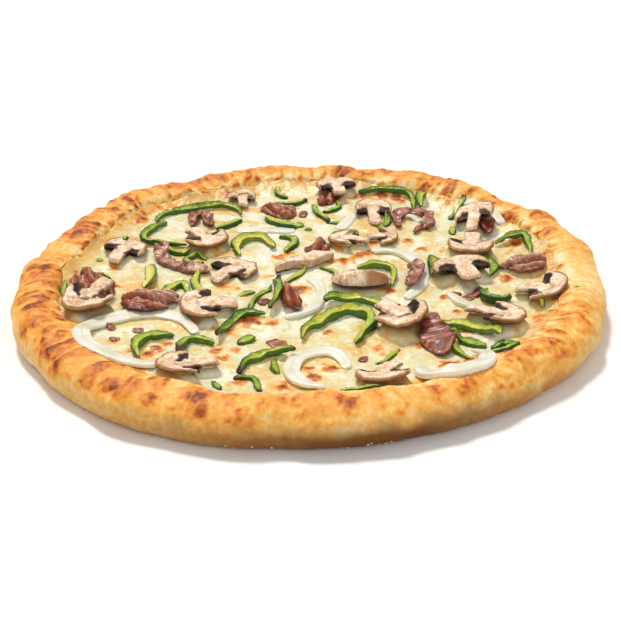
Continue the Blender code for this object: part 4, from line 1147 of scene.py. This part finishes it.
def lay_ham_lumps():
    """Crumpled slices of ham: the solid's own height, with folds and finer wrinkles that run
    along one heading and are bent by noise."""
    for number, (name, (centre, heading, pale)) in enumerate(HAM_LUMPS.items()):
        outline, low, high = lump_outline(name, centre)
        frill = 1 + 0.09 * noise(outline, 3.5, 880 + number) + 0.05 * noise(outline, 1.8, 890 + number)
        outline = np.array(centre) + (outline - np.array(centre)) * frill[:, None]
        places, level, share, rounding = flat_rings(outline, centre, 0.5)
        local = places - np.array(centre)
        corners = node_points(name)
        slopes = lie_of(name, np.array([centre], float), 60.0)[1]
        away = np.linalg.norm(places[:, :, None] - corners[:, :2], axis=-1)
        weight = np.where(corners[:, 2] > np.median(corners[:, 2]), 1.0, 0.15) / (away**2 + 2.0) ** 2
        solid_top = weight @ corners[:, 2] / weight.sum(axis=-1)
        base = low + 0.8 * local @ slopes[0]

        turn = math.radians(heading)
        across = local @ np.array([-math.sin(turn), math.cos(turn)])
        across = across + 2.6 * noise(local, 9, 900 + 7 * number) + 0.8 * noise(local, 3.5, 901 + 7 * number)
        fold = zigzag(across + number, FOLD_WIDTH)
        wrinkle = zigzag(across + local[..., 0], WRINKLE_WIDTH)
        crumple = FOLD_HEIGHT * (fold - 0.55) + WRINKLE_HEIGHT * (wrinkle - 0.5)
        over = np.maximum(solid_top + crumple, base + 1.2) + rounding
        edge = smooth(0.88, 1.0, share)
        over = over + 0.45 * edge * (base + 1.5 - over)
        z = np.where(level > 0.5, over, base + 1.5 * level)
        tint = pale + 0.35 * noise(local, 9, 930 + number)
        if name == "ham_2":  # its left end is better baked
            tint = 0.1 + 0.9 * smooth(-4, 2, local[..., 0] + 0.8 * local[..., 1])
        # Painted light on the fold crests over it, painted shade in the creases and underneath, and browner
        # at the edge.
        ridge = 0.36 * fold * level + 0.08 * wrinkle - 0.12 * edge - 0.06
        rings = np.concatenate([places, np.clip(z, low - 0.2, high + 1.6)[..., None]], axis=-1)
        lay(name, "_crumpled", rings, {"pale": np.clip(tint, 0, 1), "ridge": ridge}, "ham")


lay_onions()
lay_peppers()
lay_ham_lumps()
lay_ham_strips()
lay_mushrooms()
lay_edge_slice()
lay_half_cap()
soft_tops = blurred(topping_tops, 1.5)
lay_scraps("pepper", PEPPER_SCRAPS, 1200, 1.2,
           lambda strip, number, *looks: pepper_marks(strip, 1700 + 5 * number, *looks),
           rough=1.4, groove=0.6, taper=0.4, blunt=0.3)
lay_scraps("onion", ONION_SCRAPS, 1900, 1.3,
           lambda strip, number: onion_marks(strip), squareness=0.55, rough=0.6)
lay_scraps("ham", HAM_SCRAPS, 2000, 1.0,
           lambda strip, number, pale: ham_marks(strip, 2100 + 2 * number, pale),
           squareness=0.3, rough=1.8, blunt=0.08)


# Cheese

def disc_places(count):
    """A square grid pressed into a disc of radius 1: rings of the square become circles."""
    line = np.linspace(-1, 1, count)
    a, b = np.meshgrid(line, line, indexing="ij")
    wide = np.abs(a) >= np.abs(b)
    reach = np.where(wide, a, b)
    with np.errstate(divide="ignore", invalid="ignore"):
        angle = np.where(wide, b / a, 2 - a / b) * math.pi / 4
    angle = np.where(reach == 0, 0, angle)
    return np.abs(reach), (np.where(reach < 0, angle + math.pi, angle) / TAU) % 1


def cheese_surface():
    """Melted cheese on a disc's grid. From the crust it falls to its own level, with swells, small
    lumps and baked blisters, and it rises to the undersides of what lies on it."""
    reach, turn = disc_places(CHEESE_GRID)
    end = cheese_end(turn)
    x, y = end[..., 0] * reach, end[..., 1] * reach
    step = (1 - reach) * np.hypot(end[..., 0], end[..., 1])
    flat = np.stack([x, y], axis=-1)
    level = cheese_level(x, y)
    z = level + np.clip(1 - step / CHEESE_RISE, 0, 1) ** 2 * (end[..., 2] - level)

    covered = np.isfinite(topping_bottoms)
    soft_crust = blurred(crust_map, 1.0)
    well_inside = smooth(0.6, 0.9, blurred(covered.astype(float), 1.3))
    bottoms = lowest_near(topping_bottoms, 2)
    wanted = np.where(covered, np.clip(bottoms + PRESSED_IN - ground, -0.5, MOST_RAISE), 0)
    raised = blurred(wanted * well_inside, 1.2)
    beside = 1 - 0.7 * read_map(blurred(covered.astype(float), 1.5), x, y)
    inside = smooth(1.0, 6.0, step)

    raw = spots_mark(flat, CHEESE_SPOTS)
    ragged = smooth(0.05, 0.3, raw) * (0.25 * noise(flat, 3.2, 61) + 0.15 * noise(flat, 1.6, 62))
    spot = smooth(0.1, 1.05, raw + ragged)
    away, own = scattered(flat / SPECK_SPACING, 63)
    speck = np.clip(1 - (away / (0.1 + 0.24 * own)) ** 2, 0, 1) * (own > 0.5)
    faint = smooth(0.2, 0.9, noise(flat, 17, 69) + 0.5 * noise(flat, 5, 70))
    rimward = np.exp(-(step / 9.0) ** 2) * smooth(-0.3, 0.8, noise(flat, 13, 64))
    brown = np.clip(0.95 * spot + 0.4 * speck * own + 0.3 * faint + 0.38 * rimward, 0, 1)
    lumps = 0.45 * layered(flat, 9, 3, 65) + 0.4 * (1 - np.abs(noise(flat, 4.5, 66))) ** 2
    z = z + inside * (read_map(raised, x, y) + beside * (lumps + 0.6 * spot + 0.35 * speck))
    z = np.maximum(z, read_map(soft_crust, x, y) * smooth(0, 4, step) + 0.45 * smooth(0, 2.5, step))
    z = np.where(step < 0.01, end[..., 2] - CHEESE_TUCK, z)
    cream = 0.2 + 0.2 * layered(flat, 30, 2, 67) + 0.26 * layered(flat, 7, 3, 68)
    cream = cream + 0.5 * np.exp(-(step / 7.0) ** 2)

    points = np.stack([x, y, z], axis=-1).reshape(-1, 3)
    number = np.arange(CHEESE_GRID**2).reshape(CHEESE_GRID, CHEESE_GRID)
    quads = np.stack([number[:-1, :-1], number[1:, :-1], number[1:, 1:], number[:-1, 1:]], axis=-1)
    # From its border the sheet turns down into the crust and in to a flat underside
    border = np.concatenate([number[0, :-1], number[:-1, -1], number[-1, :0:-1], number[:0:-1, 0]])
    lip = points[border] * (0.985, 0.985, 1) - (0, 0, CHEESE_LIP)
    floor_edge = points[border] * (0.86, 0.86, 0) + (0, 0, CHEESE_UNDER)
    below = len(points) + np.arange(2 * len(border)).reshape(2, -1)
    rows = np.stack([border, *below])
    beside = np.roll(rows, -1, axis=1)
    walls = np.stack([rows[:-1], beside[:-1], beside[1:], rows[1:]], axis=-1).reshape(-1, 4)
    tip = np.full(len(border), len(points) + 2 * len(border))
    fan = np.stack([rows[-1], beside[-1], tip], axis=-1)
    grown = np.concatenate([points, lip, floor_edge, [(0.0, 0.0, CHEESE_UNDER)]])
    # Painted shade on the cheese under and round the toppings, blurred out from where they lie.
    juice = smooth(0.3, 0.95, read_map(blurred(painted_shade_map, 1.2), x, y))
    marks = {}
    for name, values in (("brown", 0.68 * brown), ("cream", 0.7 * np.clip(cream, 0, 1)), ("juice", juice)):
        top = values.ravel()
        marks[name] = np.concatenate([top, top[border], top[border], [0.0]])
    return (grown, [np.concatenate([quads.reshape(-1, 4), walls]), fan]), marks


surface, marks = cheese_surface()
add_piece("cheese_melted", surface, marks, "cheese", ("cheese",))


# Floor, light and camera

def plain_floor():
    """White card: matt, with a trace of tooth."""
    made, tree, place = new_material("white_card")
    tooth = add_node(tree, "TexNoise", {}, {"Vector": place, "Scale": per_metre(4)})
    white = add_node(tree, "ValToRGB", {"stops": ((0.0, "#FBFBFB"), (1.0, "#FFFFFF"))}, {"Fac": tooth})
    shader = add_node(tree, "BsdfPrincipled", {}, {"Base Color": white, "Roughness": 0.9})
    add_node(tree, "OutputMaterial", {}, {"Surface": shader})
    corners = [(x * FLOOR_HALF, y * FLOOR_HALF, 0) for x, y in ((-1, -1), (1, -1), (1, 1), (-1, 1))]
    mesh = bpy.data.meshes.new("floor")
    mesh.from_pydata(corners, [], [(0, 1, 2, 3)])
    mesh.materials.append(made)
    floor = bpy.data.objects.new("floor", mesh)
    bpy.context.collection.objects.link(floor)


def set_up(name, data, place, aim=(0, 0, 0)):
    """A lamp or a camera at a place in metres, looking at another."""
    thing = bpy.data.objects.new(name, data)
    bpy.context.collection.objects.link(thing)
    thing.location = place
    thing.rotation_euler = (Vector(aim) - Vector(place)).to_track_quat("-Z", "Y").to_euler()
    return thing


def studio():
    """A pale sky, a broad key light from behind on the left, a soft fill from the front, and the
    camera."""
    scene = bpy.context.scene
    scene.view_settings.view_transform = "Standard"
    scene.world = bpy.data.worlds.new("studio")
    scene.world.use_nodes = True
    background = scene.world.node_tree.nodes["Background"]
    background.inputs["Color"].default_value = srgb(SKY_COLOUR)
    background.inputs["Strength"].default_value = SKY_STRENGTH

    key = bpy.data.lights.new("key", "SUN")
    key.energy = KEY_STRENGTH
    key.angle = math.radians(KEY_WIDTH)
    key.color = srgb(KEY_COLOUR)[:3]
    set_up("key", key, KEY_PLACE)

    fill = bpy.data.lights.new("fill", "AREA")
    fill.energy = FILL_WATTS
    fill.size = FILL_SIZE
    set_up("fill", fill, FILL_PLACE)

    lens = bpy.data.cameras.new("camera")
    lens.sensor_width = CAMERA_SENSOR
    lens.lens = CAMERA_LENS
    up = math.radians(CAMERA_ELEVATION)
    aim = np.array(CAMERA_AIM) * MM
    place = aim + CAMERA_DISTANCE * MM * np.array([0, -math.cos(up), math.sin(up)])
    scene.camera = set_up("camera", lens, tuple(place), tuple(aim))


plain_floor()
studio()
